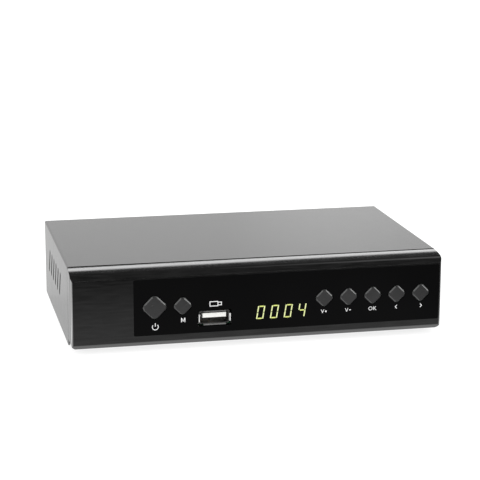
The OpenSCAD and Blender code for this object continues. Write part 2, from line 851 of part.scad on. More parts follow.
// Front panel: a moulded shell with a seat for the window, board posts and a tongue with hooks
module front_panel() {
  tongue_w = body_w - 2 * (sheet_t + tongue_gap);
  hook_drop = sheet_t + tongue_gap;
  color("#1c1c1e") {
    difference() {
      union() {
        panel_block();
        at_face(0, tongue_end, 0)
          linear_extrude(tongue_len + seam_gap + slip)
            rounded_box(
              -tongue_w / 2, sheet_t + tongue_gap,
              tongue_w / 2, body_h - sheet_t - tongue_gap, tongue_t / 2
            );
      }
      side_view(inner_w)
        polygon([
          [panel_wall, inner_low],
          [tongue_end + slip, inner_low],
          [tongue_end + slip, inner_top],
          [rim_back, inner_top],
          [panel_wall, brow_under(panel_wall)]
        ]);
      at_face(0, window_t, 0)
        linear_extrude(window_t + slip)
          rounded_box(
            window_x0 - window_gap, window_low - window_gap,
            window_x1 + window_gap, window_top + window_gap, window_r + window_gap
          );
      at_face(0, panel_wall + slip, 0)
        linear_extrude(panel_wall + 2 * slip)
          front_holes();
      at_face(display_x, panel_wall + slip, display_z)
        linear_extrude(panel_wall + 2 * slip)
          square([display_w + 2 * display_gap, display_h + 2 * display_gap], center = true);
      at_face(sensor_x, panel_wall + slip, sensor_z)
        cylinder(d = sensor_d + 2 * display_gap, h = panel_wall + 2 * slip);
    }
    for (p = FRONT_SCREWS)
      at_face(p[0], front_board_back, p[1])
        difference() {
          cylinder(r = post_r, h = post_len);
          translate([0, 0, -slip])
            cylinder(r = screw_d / 2 + thread_gap, h = front_screw_len - board_t + 2 * slip);
        }
    for (x = [-hook_x, 0, hook_x])
      translate([x - hook_w / 2, face_y + tongue_end - hook_len, base_z + inner_low - tongue_t - hook_drop])
        cube([hook_w, hook_len, hook_drop + tongue_t / 2]);
  }
}

// Window: a thin dark lens, flush with the face, with holes for the keys and the socket
module display_window() {
  color("#0b0b0c")
    at_face(0, window_t, 0)
      linear_extrude(window_t)
        difference() {
          rounded_box(window_x0, window_low, window_x1, window_top, window_r);
          front_holes();
        }
}

// Feet: plain rubber discs with an eased edge
module rubber_feet() {
  ease = foot_h / 4;
  color("#2b2b2b")
    for (p = FEET)
      translate([p[0], p[1], 0])
        rotate_extrude()
          difference() {
            square([foot_d / 2, foot_h]);
            corner_waste([foot_d / 2, 0], [0, 0], [foot_d / 2, foot_h], ease);
          }
}

module cover_screws() {
  color("#3a3a3c")
    for (p = COVER_SCREWS)
      translate([p[0], rear_y, base_z + p[1]])
        rotate([-90, 0, 0])
          screw(cover_screw_len);
}

module board_screws() {
  color("silver")
    for (p = BOARD_SCREWS)
      translate([p[0], p[1], deck_z])
        screw(board_screw_len);
}

module front_board_screws() {
  color("silver")
    for (p = FRONT_SCREWS)
      translate([p[0], face_y + front_board_back + board_t, base_z + p[1]])
        rotate([-90, 0, 0])
          screw(front_screw_len);
}

// Main board, with a tab that reaches forward under the memory-stick socket
module main_board() {
  color("#1f5a34")
    difference() {
      union() {
        translate([-board_w / 2, board_y0, board_z])
          cube([board_w, board_y1 - board_y0, board_t]);
        translate([port_x - port_tab_w / 2, face_y + port_tab_back, board_z])
          cube([port_tab_w, board_y0 - face_y - port_tab_back + slip, board_t]);
      }
      for (p = BOARD_SCREWS)
        translate([p[0], p[1], board_z - slip])
          cylinder(r = screw_d / 2 + pass_gap, h = board_t + 2 * slip);
    }
}

// Front board, notched over the memory-stick socket
module front_board() {
  notch_w = port_tab_w + 2 * front_board_gap;
  notch_top = port_z + port_h / 2 + front_board_gap;
  color("#1f5a34")
    at_face(0, front_board_back + board_t, 0)
      linear_extrude(board_t)
        difference() {
          translate([-front_board_w / 2, front_board_low])
            square([front_board_w, front_board_top - front_board_low]);
          translate([port_x - notch_w / 2, front_board_low - slip])
            square([notch_w, notch_top - front_board_low + slip]);
          for (p = FRONT_SCREWS)
            translate(p)
              circle(screw_d / 2 + pass_gap);
        }
}

// Switch cases: one behind each key, with a well for its plunger
module switch_cases() {
  well = plunger_bite + key_travel + plunger_room;
  color("#202022")
    for (k = KEYS)
      at_face(k[1], front_board_back, key_z)
        difference() {
          linear_extrude(switch_h)
            square(switch_side, center = true);
          translate([0, 0, switch_h - well])
            cylinder(r = plunger_d / 2 + plunger_gap, h = well + slip);
        }
}

// Display module: four figures side by side in one moulding
module display_module() {
  depth = post_len - display_gap;
  color("#34363a")
    at_face(display_x, front_board_back, display_z)
      linear_extrude(depth)
        rounded_box(-display_w / 2, -display_h / 2, display_w / 2, display_h / 2, display_r);
}

module remote_sensor() {
  color("#2c2230")
    at_face(sensor_x, front_board_back, sensor_z) {
      linear_extrude(sensor_t)
        rounded_box(-sensor_w / 2, -sensor_h / 2, sensor_w / 2, sensor_h / 2, sensor_w / 8);
      translate([0, 0, sensor_t])
        sphere(d = sensor_d);
    }
}

// Header on the main board, whose pins end on the rear of the front board
module link_header() {
  depth = 2 * link_pitch;
  color("#ded8c6")
    translate([link_x - link_w / 2, board_y0, deck_z])
      cube([link_w, depth, link_h]);
}

module link_pins_row() {
  pin = link_pitch / 4;
  pin_y0 = face_y + front_board_back + board_t;
  color("silver")
    for (i = [0 : link_pins - 1])
      translate([
        link_x + (i - (link_pins - 1) / 2) * link_pitch - pin / 2,
        pin_y0,
        deck_z + link_h / 2 - pin / 2
      ])
        cube([pin, board_y0 - pin_y0, pin]);
}

// A flared lip of the socket's shell, on its upper side
module lip(w, rise) {
  translate([0, rise, 0])
    rotate([-lip_angle, 0, 0])
      translate([-w / 2, -shell_t, -shell_t / 2])
        cube([w, shell_t, lip_len + shell_t / 2]);
}

// Memory-stick socket: a folded tube with four flared lips at its mouth
module stick_socket_shell() {
  mouth = lip_back + lip_len * cos(lip_angle);
  color("#c9cbcd")
    at_face(port_x, mouth, port_z) {
      mirror([0, 0, 1])
        linear_extrude(port_len - mouth)
          difference() {
            rounded_box(-port_w / 2, -port_h / 2, port_w / 2, port_h / 2, port_r);
            rounded_box(
              shell_t - port_w / 2, shell_t - port_h / 2,
              port_w / 2 - shell_t, port_h / 2 - shell_t, port_r - shell_t
            );
          }
      for (a = [0, 180]) {
        rotate(a)
          lip(lip_w, port_h / 2);
        rotate(a + 90)
          lip(lip_h, port_w / 2);
      }
    }
}

// The socket's insulator: the pale tongue, the block behind it and the foot on the board
module stick_socket_core() {
  bore_w = port_w - 2 * shell_t;
  bore_h = port_h - 2 * shell_t;
  block_back = port_tongue_back + port_tongue_len;
  foot = port_rise - port_h / 2;
  cap_t = 2 * shell_t;
  color("#efeee8") {
    at_face(port_x, block_back + slip, port_z + port_tongue_rise)
      linear_extrude(port_tongue_len + slip)
        square([port_tongue_w, port_tongue_t], center = true);
    at_face(port_x, port_len + slip, port_z)
      linear_extrude(port_len + slip - block_back)
        rounded_box(-bore_w / 2, -bore_h / 2, bore_w / 2, bore_h / 2, port_r);
    at_face(port_x, port_len + cap_t, port_z)
      linear_extrude(cap_t)
        translate([-port_w / 2, -port_rise])
          square([port_w, port_rise + port_h / 2]);
    at_face(port_x, port_len + cap_t, port_z)
      linear_extrude(port_len + cap_t - port_tab_back)
        translate([-port_w / 2, -port_rise])
          square([port_w, foot]);
  }
}

// Four contacts along the tongue's underside
module stick_socket_contacts() {
  contacts = 4;
  pitch = port_tongue_w / contacts;
  strip = pitch / 2;
  thick = shell_t / 2;
  color("gold")
    for (i = [0 : contacts - 1])
      at_face(
        port_x + (i - (contacts - 1) / 2) * pitch,
        port_tongue_back + port_tongue_len,
        port_z + port_tongue_rise - port_tongue_t / 2
      )
        linear_extrude(port_tongue_len - 2 * shell_t)
          translate([-strip / 2, -thick])
            square([strip, thick]);
}

// Tuner: a soldered metal can with a lid line round its top
module tuner_can() {
  lid = shell_t;
  color("#b9bcbe")
    translate([tuner_x - tuner_w / 2, tuner_y1 - tuner_d, deck_z]) {
      cube([tuner_w, tuner_d, tuner_h - lid]);
      translate([lid, lid, tuner_h - 2 * lid])
        cube([tuner_w - 2 * lid, tuner_d - 2 * lid, 2 * lid]);
    }
}

// Aerial input: a barrel that a cable's plug slides over, on a collar through the rear wall
module aerial_input() {
  r = aerial_in_d / 2;
  reach = rear_y + aerial_len - tuner_y1;
  ease = aerial_wall / 2;
  color("#d5d7d8")
    upright(aerial_in_x, rear_y + aerial_len, aerial_z)
      rotate_extrude()
        difference() {
          union() {
            translate([r - aerial_wall, 0])
              square([aerial_wall, reach]);
            translate([r - aerial_wall, aerial_len])
              square([aerial_wall + aerial_collar, reach - aerial_len]);
          }
          corner_waste([r, 0], [0, 0], [r, aerial_len], ease);
        }
}

// Its insulator and the tube for the plug's pin
module aerial_input_core() {
  bore = aerial_in_d / 2 - aerial_wall - core_gap;
  disc = 2 * aerial_wall;
  reach = rear_y + aerial_len - tuner_y1;
  recess = aerial_wall;
  color("#f0ede2")
    upright(aerial_in_x, rear_y + aerial_len, aerial_z)
      rotate_extrude() {
        translate([aerial_pin_d / 2, recess])
          square([aerial_wall, reach - recess]);
        translate([aerial_pin_d / 2, reach - disc])
          square([bore - aerial_pin_d / 2, disc]);
      }
}

// Aerial output: a wider sleeve with a pin down its middle
module aerial_output() {
  r = aerial_out_r;
  reach = rear_y + aerial_len - tuner_y1;
  ease = aerial_wall / 2;
  color("#d5d7d8")
    upright(aerial_out_x, rear_y + aerial_len, aerial_z)
      rotate_extrude()
        difference() {
          translate([r - aerial_wall, 0])
            square([aerial_wall, reach]);
          corner_waste([r, 0], [0, 0], [r, reach], ease);
        }
}

// Its pin, on a disc at the foot of the sleeve
module aerial_output_core() {
  disc = 2 * aerial_wall;
  reach = rear_y + aerial_len - tuner_y1;
  recess = aerial_wall;
  tip = aerial_pin_d / 4;
  color("#e3c36a")
    upright(aerial_out_x, rear_y + aerial_len, aerial_z)
      rotate_extrude()
        difference() {
          union() {
            translate([0, recess])
              square([aerial_pin_d / 2, reach - recess]);
            translate([0, reach - disc])
              square([aerial_out_d / 2 - core_gap, disc]);
          }
          corner_waste([aerial_pin_d / 2, recess], [0, recess], [aerial_pin_d / 2, reach], tip);
        }
}

// The keyed outline of the digital video socket, narrowed at its lower corners
module video_outline(inset) {
  half = video_w / 2 - inset;
  up = video_h / 2 - inset;
  key = video_h / 4;
  polygon([
    [-half, up], [half, up], [half, -up + key], [half - key, -up], [-half + key, -up], [-half, -up + key]
  ]);
}

module video_socket_shell() {
  color("#c9cbcd")
    upright(video_x, wall_out_y, video_z)
      linear_extrude(video_d)
        difference() {
          video_outline(0);
          video_outline(shell_t);
        }
}

module video_socket_core() {
  block = video_d / 4;
  tongue_w = video_w - 4 * shell_t - video_h / 2;
  blade_t = 2 * shell_t;
  color("#19191a")
    upright(video_x, wall_out_y, video_z) {
      translate([0, 0, video_d - block])
        linear_extrude(block)
          video_outline(shell_t);
      translate([0, 0, shell_t])
        linear_extrude(video_d - block)
          square([tongue_w, blade_t], center = true);
    }
}

// Digital sound socket: a moulded body on the board and a ring that stands out of the rear wall
module sound_socket_body() {
  reach = rear_y + sound_len - wall_in_y;
  core_r = sound_ring_d / 2 - shell_t - core_gap;
  color("#c8641e")
    difference() {
      union() {
        translate([sound_x - sound_w / 2, wall_in_y - board_rear - sound_d, deck_z])
          cube([sound_w, sound_d, sound_h]);
        upright(sound_x, rear_y + sound_len, sound_z)
          translate([0, 0, shell_t])
            cylinder(r = core_r, h = reach + board_rear);
      }
      upright(sound_x, rear_y + sound_len + slip, sound_z)
        cylinder(d = sound_hole_d, h = sound_len + slip);
    }
}

module sound_socket_ring() {
  reach = rear_y + sound_len - wall_in_y + board_rear;
  color("#d5d7d8")
    upright(sound_x, rear_y + sound_len, sound_z)
      rotate_extrude()
        translate([sound_ring_d / 2 - shell_t, 0])
          square([shell_t, reach]);
}

// The keyed outline of the picture and sound socket, slanted at one end
module av_outline(grow) {
  half = av_w / 2;
  up = av_h / 2;
  polygon([
    [-half - grow, up + grow], [half + grow, up + grow], [half + grow, -up + av_slant],
    [half + grow - av_slant, -up - grow], [-half - grow, -up - grow]
  ]);
}

// Picture and sound socket: a slotted block in a groove for the plug's skirt, with a flange behind
module av_socket() {
  slot_w = av_pitch / 3;
  slot_h = av_h / 2 - 3 * slot_w / 2;
  color("#1a1a1c")
    difference() {
      union() {
        upright(av_x, wall_out_y, av_z)
          linear_extrude(av_groove_d + slip)
            av_outline(0);
        upright(av_x, wall_out_y - av_groove_d, av_z)
          linear_extrude(av_flange_t)
            translate([-av_flange_w / 2, -av_rise])
              square([av_flange_w, av_rise + av_flange_h / 2]);
      }
      for (row = [-1, 1])
        for (i = [0 : av_count - 1])
          upright(
            av_x + (i - (av_count - 1) / 2) * av_pitch + (row - 1) * av_pitch / 4,
            wall_out_y + slip,
            av_z + row * (slot_h + slot_w) / 2
          )
            linear_extrude(av_groove_d + slip)
              square([slot_w, slot_h], center = true);
    }
}

module power_inlet() {
  color("#1a1a1c")
    difference() {
      translate([inlet_x - inlet_w / 2, wall_in_y - board_rear - inlet_d, deck_z])
        cube([inlet_w, inlet_d, inlet_h]);
      upright(inlet_x, wall_in_y, inlet_z)
        cylinder(d = inlet_hole_d, h = inlet_hole_len);
    }
}

module power_inlet_pin() {
  color("#d5d7d8")
    upright(inlet_x, wall_in_y - board_rear - shell_t, inlet_z)
      cylinder(d = inlet_pin_d, h = inlet_hole_len - board_rear - shell_t);
}

// A flat chip with chamfered upper edges, its middle on the deck
module flat_chip(x, y, len_x, len_y, thick) {
  ease = thick / 4;
  translate([x, y, deck_z]) {
    translate([-len_x / 2, -len_y / 2, 0])
      cube([len_x, len_y, thick - ease]);
    translate([-len_x / 2 + ease, -len_y / 2 + ease, 0])
      cube([len_x - 2 * ease, len_y - 2 * ease, thick]);
  }
}

module processor() {
  color("#2a2a2c")
    flat_chip(chip_x, sink_y, chip_side, chip_side, chip_t);
}

// Heat sink: a base plate on the processor, with upright fins
module heat_sink() {
  step = (sink_side - sink_fin_t) / (sink_fins - 1);
  color("#a9adb0")
    translate([chip_x - sink_side / 2, sink_y - sink_side / 2, deck_z + chip_t]) {
      cube([sink_side, sink_side, sink_base]);
      for (i = [0 : sink_fins - 1])
        translate([i * step, 0, 0])
          cube([sink_fin_t, sink_side, sink_h]);
    }
}

module memory_chip() {
  color("#2a2a2c")
    flat_chip(memory_x, sink_y, memory_w, memory_len, memory_t);
}

module flash_chip() {
  color("#2a2a2c")
    flat_chip(
      memory_x, sink_y + (memory_len + small_chip_len) / 2 + part_gap,
      small_chip_w, small_chip_len, memory_t
    );
}

module regulators() {
  color("#2a2a2c")
    for (i = [0, 1])
      flat_chip(
        regulator_x,
        board_y0 + cap_y + i * (small_chip_len + part_gap),
        small_chip_w, small_chip_len, memory_t
      );
}

// Storage capacitors: upright cans with a groove near the foot
module storage_capacitors() {
  groove = cap_d / 20;
  color("#26324f")
    for (i = [0 : cap_count - 1])
      translate([cap_x, board_y0 + cap_y + i * cap_pitch, deck_z])
        rotate_extrude()
          difference() {
            square([cap_d / 2, cap_h]);
            translate([cap_d / 2, cap_h / 8])
              circle(groove);
            corner_waste([cap_d / 2, cap_h], [0, cap_h], [cap_d / 2, 0], 2 * groove);
          }
}

// Coils: a drum with a waist, between two flanges
module coils() {
  rim = coil_h / 4;
  color("#3b3733")
    for (i = [0, 1])
      translate([coil_x, board_y0 + cap_y + i * (coil_d + part_gap), deck_z])
        rotate_extrude() {
          square([coil_d / 2, rim]);
          square([coil_d / 2 - rim, coil_h]);
          translate([0, coil_h - rim])
            square([coil_d / 2, rim]);
        }
}

module crystal() {
  color("#c4c6c8")
    translate([memory_x, sink_y - (memory_len + crystal_w) / 2 - part_gap, deck_z])
      linear_extrude(crystal_h)
        rotate(90)
          slot(crystal_len, crystal_w);
}

// A key's stem: a square that stands on a corner, its corners round and its front chamfered
module key_stem(side, r, h) {
  flat = side / 2 - r;
  low = h - key_edge;
  rotate(45) {
    for (a = [0, 90])
      rotate([90, 0, a])
        translate([0, 0, -flat])
          linear_extrude(2 * flat)
            polygon([
              [-side / 2, 0], [side / 2, 0], [side / 2, low],
              [side / 2 - key_edge, h], [key_edge - side / 2, h], [-side / 2, low]
            ]);
    for (a = [0 : 90 : 270])
      rotate(a)
        translate([flat, flat, 0])
          rotate_extrude(angle = 90)
            polygon([[0, 0], [r, 0], [r, low], [r - key_edge, h], [0, h]]);
  }
}

// A key, with the rim that holds it behind the panel
module key(k) {
  rim_front = panel_wall + key_stop;
  r = key_corner(k[2]);
  color("#3b3c3f") {
    at_face(k[1], rim_front + key_rim_t, key_z)
      linear_extrude(key_rim_t)
        diamond(k[2] + 2 * key_rim, r + key_rim);
    at_face(k[1], rim_front, key_z)
      key_stem(k[2], r, rim_front + key_proud);
  }
}

// A switch plunger, from the back of its key to the inside of its case
module plunger(k) {
  key_back = panel_wall + key_stop + key_rim_t;
  case_front = front_board_back - switch_h;
  reach = case_front + plunger_bite - key_back;
  color("#e8e4da")
    at_face(k[1], key_back + reach, key_z)
      cylinder(d = plunger_d, h = reach);
}

top_cover();
base_tray();
front_panel();
display_window();
rubber_feet();
cover_screws();
board_screws();
front_board_screws();
main_board();
front_board();
switch_cases();
display_module();
remote_sensor();
link_header();
link_pins_row();
stick_socket_shell();
stick_socket_core();
stick_socket_contacts();
tuner_can();
aerial_input();
aerial_input_core();
aerial_output();
aerial_output_core();
video_socket_shell();
video_socket_core();
sound_socket_body();
sound_socket_ring();
av_socket();
power_inlet();
power_inlet_pin();
processor();
heat_sink();
memory_chip();
flash_chip();
regulators();
storage_capacitors();
coils();
crystal();
for (k = KEYS) {
  key(k);
  plunger(k);
}
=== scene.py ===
"""Dresses the terrestrial television receiver: finishes, lit figures, key signs and small fittings.

The classes hold their sizes in millimetres, and MM turns them into metres where a mesh is made.
"""

from __future__ import annotations

import logging
import math
from dataclasses import dataclass
from enum import Enum
from typing import Sequence

import bmesh
import bpy
from mathutils import Matrix, Vector

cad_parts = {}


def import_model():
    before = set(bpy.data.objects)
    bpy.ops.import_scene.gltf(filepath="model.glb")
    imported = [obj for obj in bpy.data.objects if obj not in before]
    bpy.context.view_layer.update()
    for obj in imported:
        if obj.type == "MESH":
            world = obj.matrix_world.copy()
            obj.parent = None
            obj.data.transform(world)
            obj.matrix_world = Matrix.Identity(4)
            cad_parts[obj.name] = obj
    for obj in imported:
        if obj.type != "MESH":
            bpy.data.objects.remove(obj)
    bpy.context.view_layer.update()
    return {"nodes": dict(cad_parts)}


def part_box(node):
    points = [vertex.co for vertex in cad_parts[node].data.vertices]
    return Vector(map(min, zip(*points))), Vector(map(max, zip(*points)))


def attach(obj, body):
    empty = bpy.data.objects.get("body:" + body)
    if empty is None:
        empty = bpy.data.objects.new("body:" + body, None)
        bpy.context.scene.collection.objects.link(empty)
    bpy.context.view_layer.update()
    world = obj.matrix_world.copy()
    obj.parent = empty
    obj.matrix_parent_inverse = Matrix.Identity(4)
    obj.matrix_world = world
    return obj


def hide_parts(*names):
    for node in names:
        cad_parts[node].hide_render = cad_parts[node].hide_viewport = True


LOG = logging.getLogger("receiver")
MM = 0.001
Colour = tuple[float, float, float]
Point2 = tuple[float, float]
Point3 = tuple[float, float, float]
Socket = bpy.types.NodeSocket

# The part of Blender's noise that holds nearly all of it
NOISE_SPAN: Point2 = (0.3, 0.7)
# Points nearer than this are one point, in metres
WELD = 1e-6
SIGN_WELD = 1e-8
# Seed of all that is random
SEED = 7


class Side(Enum):
    """Which way a row of fittings faces, as the turn that brings its top round from +Z."""

    UP = (0.0, 0.0, 0.0)
    REAR = (-math.pi / 2, 0.0, 0.0)


class Axis(Enum):
    """The way that a drawn-out grain runs, as the share of its coordinates that is left on each axis."""

    ACROSS = (0.012, 1.0, 1.0)
    STROKES = (0.07, 1.0, 1.0)
    DEPTH = (1.0, 0.03, 1.0)
    NONE = (1.0, 1.0, 1.0)


class Cut(Enum):
    """What one shape leaves of another: all that lies outside it, or all that lies inside."""

    AWAY = "DIFFERENCE"
    COMMON = "INTERSECT"


class NodeNet:
    """A node tree, with short calls to add nodes and join them."""

    def __init__(self, tree: bpy.types.NodeTree) -> None:
        """Empties a tree and takes it over.

        Args:
            tree: The tree.
        """
        self.tree = tree
        self.tree.nodes.clear()

    def add(self, kind: str, **settings: object) -> bpy.types.Node:
        """Adds a node.

        Args:
            kind: Blender's name for the node type.
            **settings: Properties to set on it.

        Returns:
            The new node.
        """
        node = self.tree.nodes.new(kind)
        for key, value in settings.items():
            setattr(node, key, value)
        return node

    def join(self, start: Socket, end: Socket) -> None:
        """Links two sockets."""
        self.tree.links.new(start, end)

    def math(self, operation: str, first: Socket, second: Socket | float = 0.0) -> Socket:
        """A sum, product or the like of a socket and a socket or number.

        Args:
            operation: Blender's name for it.
            first: The first value.
            second: The second value, if the operation takes one.

        Returns:
            The result's socket.
        """
        node = self.add("ShaderNodeMath", operation=operation)
        self.join(first, node.inputs[0])
        if isinstance(second, float):
            node.inputs[1].default_value = second
        else:
            self.join(second, node.inputs[1])
        return node.outputs[0]

    def ramp(self, value: Socket, start: Point2, end: Point2) -> Socket:
        """Maps a value from one span onto another, held at both ends.

        Args:
            value: The value.
            start: The span it comes from.
            end: The span it goes to.

        Returns:
            A value socket.
        """
        node = self.add("ShaderNodeMapRange")
        for key, number in zip(("From Min", "From Max", "To Min", "To Max"), (*start, *end)):
            node.inputs[key].default_value = number
        self.join(value, node.inputs["Value"])
        return node.outputs["Result"]

    def parts(self, vector: Socket) -> dict[str, Socket]:
        """The three parts of a vector.

        Args:
            vector: The vector.

        Returns:
            A value socket for each of X, Y and Z.
        """
        node = self.add("ShaderNodeSeparateXYZ")
        self.join(vector, node.inputs["Vector"])
        return dict(node.outputs.items())

    def either(self, test: Socket, low: Socket | float, high: Socket | float) -> Socket:
        """Goes from one value to another.

        Args:
            test: 0 for the first value, 1 for the second.
            low: The first value.
            high: The second value.

        Returns:
            A value socket.
        """
        node = self.add("ShaderNodeMix", data_type="FLOAT")
        self.join(test, node.inputs[0])
        for socket, part in ((node.inputs[2], low), (node.inputs[3], high)):
            if isinstance(part, float):
                socket.default_value = part
            else:
                self.join(part, socket)
        return node.outputs[0]


class Graph(NodeNet):
    """A material's node tree, round one Principled shader."""

    def __init__(self, name: str) -> None:
        """Starts a material.

        Args:
            name: Name of the material.
        """
        self.material = bpy.data.materials.new(name)
        self.material.use_nodes = True
        super().__init__(self.material.node_tree)
        output = self.add("ShaderNodeOutputMaterial")
        self.shader = self.add("ShaderNodeBsdfPrincipled")
        self.join(self.shader.outputs["BSDF"], output.inputs["Surface"])
        self.place = self.add("ShaderNodeTexCoord").outputs["Object"]

    def set(self, **values: object) -> None:
        """Sets the shader's own sockets.

        Args:
            **values: The sockets, named with _ for a space.
        """
        for key, value in values.items():
            self.shader.inputs[key.replace("_", " ")].default_value = value

    def stretched(self, grain_mm: float, axis: Axis) -> Socket:
        """Object coordinates in units of the grain.

        Args:
            grain_mm: Size of one grain.
            axis: The way that the grain is drawn out.

        Returns:
            A vector socket.
        """
        mapping = self.add("ShaderNodeMapping")
        scale = 1.0 / (grain_mm * MM)
        mapping.inputs["Scale"].default_value = [scale * a for a in axis.value]
        self.join(self.place, mapping.inputs["Vector"])
        return mapping.outputs["Vector"]

    def noise(self, grain_mm: float, axis: Axis = Axis.NONE, detail: float = 3.0) -> Socket:
        """A noise value.

        Args:
            grain_mm: Size of one grain.
            axis: The way that the grain is drawn out.
            detail: Octaves of the noise.

        Returns:
            A value socket, about 0.3 to 0.7.
        """
        node = self.add("ShaderNodeTexNoise")
        node.inputs["Scale"].default_value = 1.0
        node.inputs["Detail"].default_value = detail
        self.join(self.stretched(grain_mm, axis), node.inputs["Vector"])
        return node.outputs["Fac"]

    def spread(self, value: Socket, low: float, high: float) -> Socket:
        """Maps a noise value onto a span.

        Args:
            value: The noise.
            low: Result at the noise's lower end.
            high: Result at the noise's upper end.

        Returns:
            A value socket.
        """
        return self.ramp(value, NOISE_SPAN, (low, high))

    def blend(self, value: Socket, low: Colour, high: Colour) -> Socket:
        """Blends two colours by a value.

        Args:
            value: 0 for the first colour, 1 for the second.
            low: The first colour.
            high: The second colour.

        Returns:
            A colour socket.
        """
        node = self.add("ShaderNodeMix", data_type="RGBA")
        self.join(value, node.inputs["Factor"])
        node.inputs[6].default_value = (*low, 1.0)
        node.inputs[7].default_value = (*high, 1.0)
        return node.outputs[2]

    def relief(self, height: Socket, depth_mm: float) -> None:
        """Bumps the shader's normal.

        Args:
            height: Height of the surface, as a value.
            depth_mm: Depth that a value of one stands for.
        """
        node = self.add("ShaderNodeBump")
        node.inputs["Strength"].default_value = 1.0
        node.inputs["Distance"].default_value = depth_mm * MM
        self.join(height, node.inputs["Height"])
        self.join(node.outputs["Normal"], self.shader.inputs["Normal"])


@dataclass(frozen=True)
class Finish:
    """A surface with a mottled colour, an uneven gloss and a fine grain."""

    name: str
    base: Colour
    roughness: float = 0.45
    uneven: float = 0.12
    mottle: float = 0.18
    patch_mm: float = 6.0
    grain_mm: float = 0.35
    relief_mm: float = 0.004
    metallic: float = 0.0
    specular: float = 0.5
    axis: Axis = Axis.NONE
    gloss_share: float = 0.6
    gloss_detail: float = 4.0
    smoothest: float = 0.02

    def shade(self, share: float) -> Colour:
        """The base colour, lightened or darkened by a share."""
        return tuple(max(0.0, c * (1.0 + share)) for c in self.base)

    def paint(self) -> bpy.types.Material:
        """Builds the material.

        Returns:
            The finished material.
        """
        graph = Graph(self.name)
        graph.set(Metallic=self.metallic, Specular_IOR_Level=self.specular)
        self.colour(graph)
        gloss = graph.noise(self.patch_mm * self.gloss_share, self.axis, self.gloss_detail)
        least = max(self.smoothest, self.roughness - self.uneven)
        rough = graph.spread(gloss, least, self.roughness + self.uneven)
        graph.join(rough, graph.shader.inputs["Roughness"])
        graph.relief(self.texture(graph), self.relief_mm)
        return graph.material

    def colour(self, graph: Graph) -> None:
        """Joins the colour to the shader.

        Args:
            graph: The material's nodes.
        """
        patches = graph.noise(self.patch_mm, self.axis)
        share = graph.spread(patches, 0.0, 1.0)
        mixed = graph.blend(share, self.shade(-self.mottle), self.shade(self.mottle))
        graph.join(mixed, graph.shader.inputs["Base Color"])

    def texture(self, graph: Graph) -> Socket:
        """The height of the grain."""
        return graph.noise(self.grain_mm, self.axis)


@dataclass(frozen=True)
class HairlineFinish(Finish):
    """A moulding whose front carries fine lines that run across it, with a painted highlight on its rounded
    ends: a raised IOR makes them mirror more brightly.

    The ends are found by how far in from the panel's ends a point lies and how far its face turns sideways.
    """

    node: str = "front_panel"
    line_mm: float = 0.26
    line_detail: float = 5.0
    streak_mm: float = 0.7
    streak_detail: float = 2.0
    forward: Point2 = (-0.8, -0.98)
    end_mm: Point2 = (1.4, 1.1)
    bend_from: Point2 = (0.05, 0.15)
    bend_to: Point2 = (0.90, 0.98)
    # IOR of the plain front, and the raised IOR that paints a highlight on the rounded ends
    plain_ior: float = 1.5
    highlight_ior: float = 2.75

    def colour(self, graph: Graph) -> None:
        """Joins a colour with faint streaks across the front, and a painted highlight on the rounded ends, as
        a raised IOR that mirrors more brightly.

        Args:
            graph: The material's nodes.
        """
        streaks = graph.spread(graph.noise(self.streak_mm, Axis.STROKES, self.streak_detail), 0.0, 1.0)
        mixed = graph.blend(streaks, self.shade(-self.mottle), self.shade(self.mottle))
        graph.join(mixed, graph.shader.inputs["Base Color"])
        # Painted highlight: the rounded ends get a raised IOR, so they mirror more brightly
        painted_highlight_ior = graph.either(self.ends(graph), self.plain_ior, self.highlight_ior)
        graph.join(painted_highlight_ior, graph.shader.inputs["IOR"])

    def ends(self, graph: Graph) -> Socket:
        """Finds the rounded ends, where the highlight is painted.

        Args:
            graph: The material's nodes.

        Returns:
            A value socket: 1 where an end rounds into the front, 0 elsewhere.
        """
        turn = graph.math("ABSOLUTE", self.facing(graph)["X"])
        bend = graph.ramp(turn, self.bend_from, (0.0, 1.0))
        bend = graph.math("MULTIPLY", bend, graph.ramp(turn, self.bend_to, (1.0, 0.0)))
        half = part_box(self.node)[1].x
        off = graph.math("ABSOLUTE", graph.parts(graph.place)["X"])
        end = graph.ramp(off, tuple(half - e * MM for e in self.end_mm), (0.0, 1.0))
        return graph.math("MULTIPLY", bend, end)

    def facing(self, graph: Graph) -> dict[str, Socket]:
        """The three parts of the way that a face looks."""
        return graph.parts(graph.add("ShaderNodeNewGeometry").outputs["True Normal"])

    def texture(self, graph: Graph) -> Socket:
        """Lines on the faces that look forward, and a smooth skin on the others.

        Args:
            graph: The material's nodes.

        Returns:
            The height of the grain.
        """
        lines = graph.noise(self.line_mm, Axis.ACROSS, self.line_detail)
        front = graph.ramp(self.facing(graph)["Y"], self.forward, (0.0, 1.0))
        return graph.math("MULTIPLY", lines, front)


@dataclass(frozen=True)
class SpangleFinish(Finish):
    """Zinc or tin on sheet steel, with the crystals that the bath leaves."""

    crystal_mm: float = 4.0

    def colour(self, graph: Graph) -> None:
        """Joins a colour that changes from crystal to crystal.

        Args:
            graph: The material's nodes.
        """
        cells = graph.add("ShaderNodeTexVoronoi")
        cells.inputs["Scale"].default_value = 1.0
        graph.join(graph.stretched(self.crystal_mm, Axis.NONE), cells.inputs["Vector"])
        grey = graph.add("ShaderNodeSeparateColor")
        graph.join(cells.outputs["Color"], grey.inputs["Color"])
        mixed = graph.blend(grey.outputs["Red"], self.shade(-self.mottle), self.shade(self.mottle))
        graph.join(mixed, graph.shader.inputs["Base Color"])


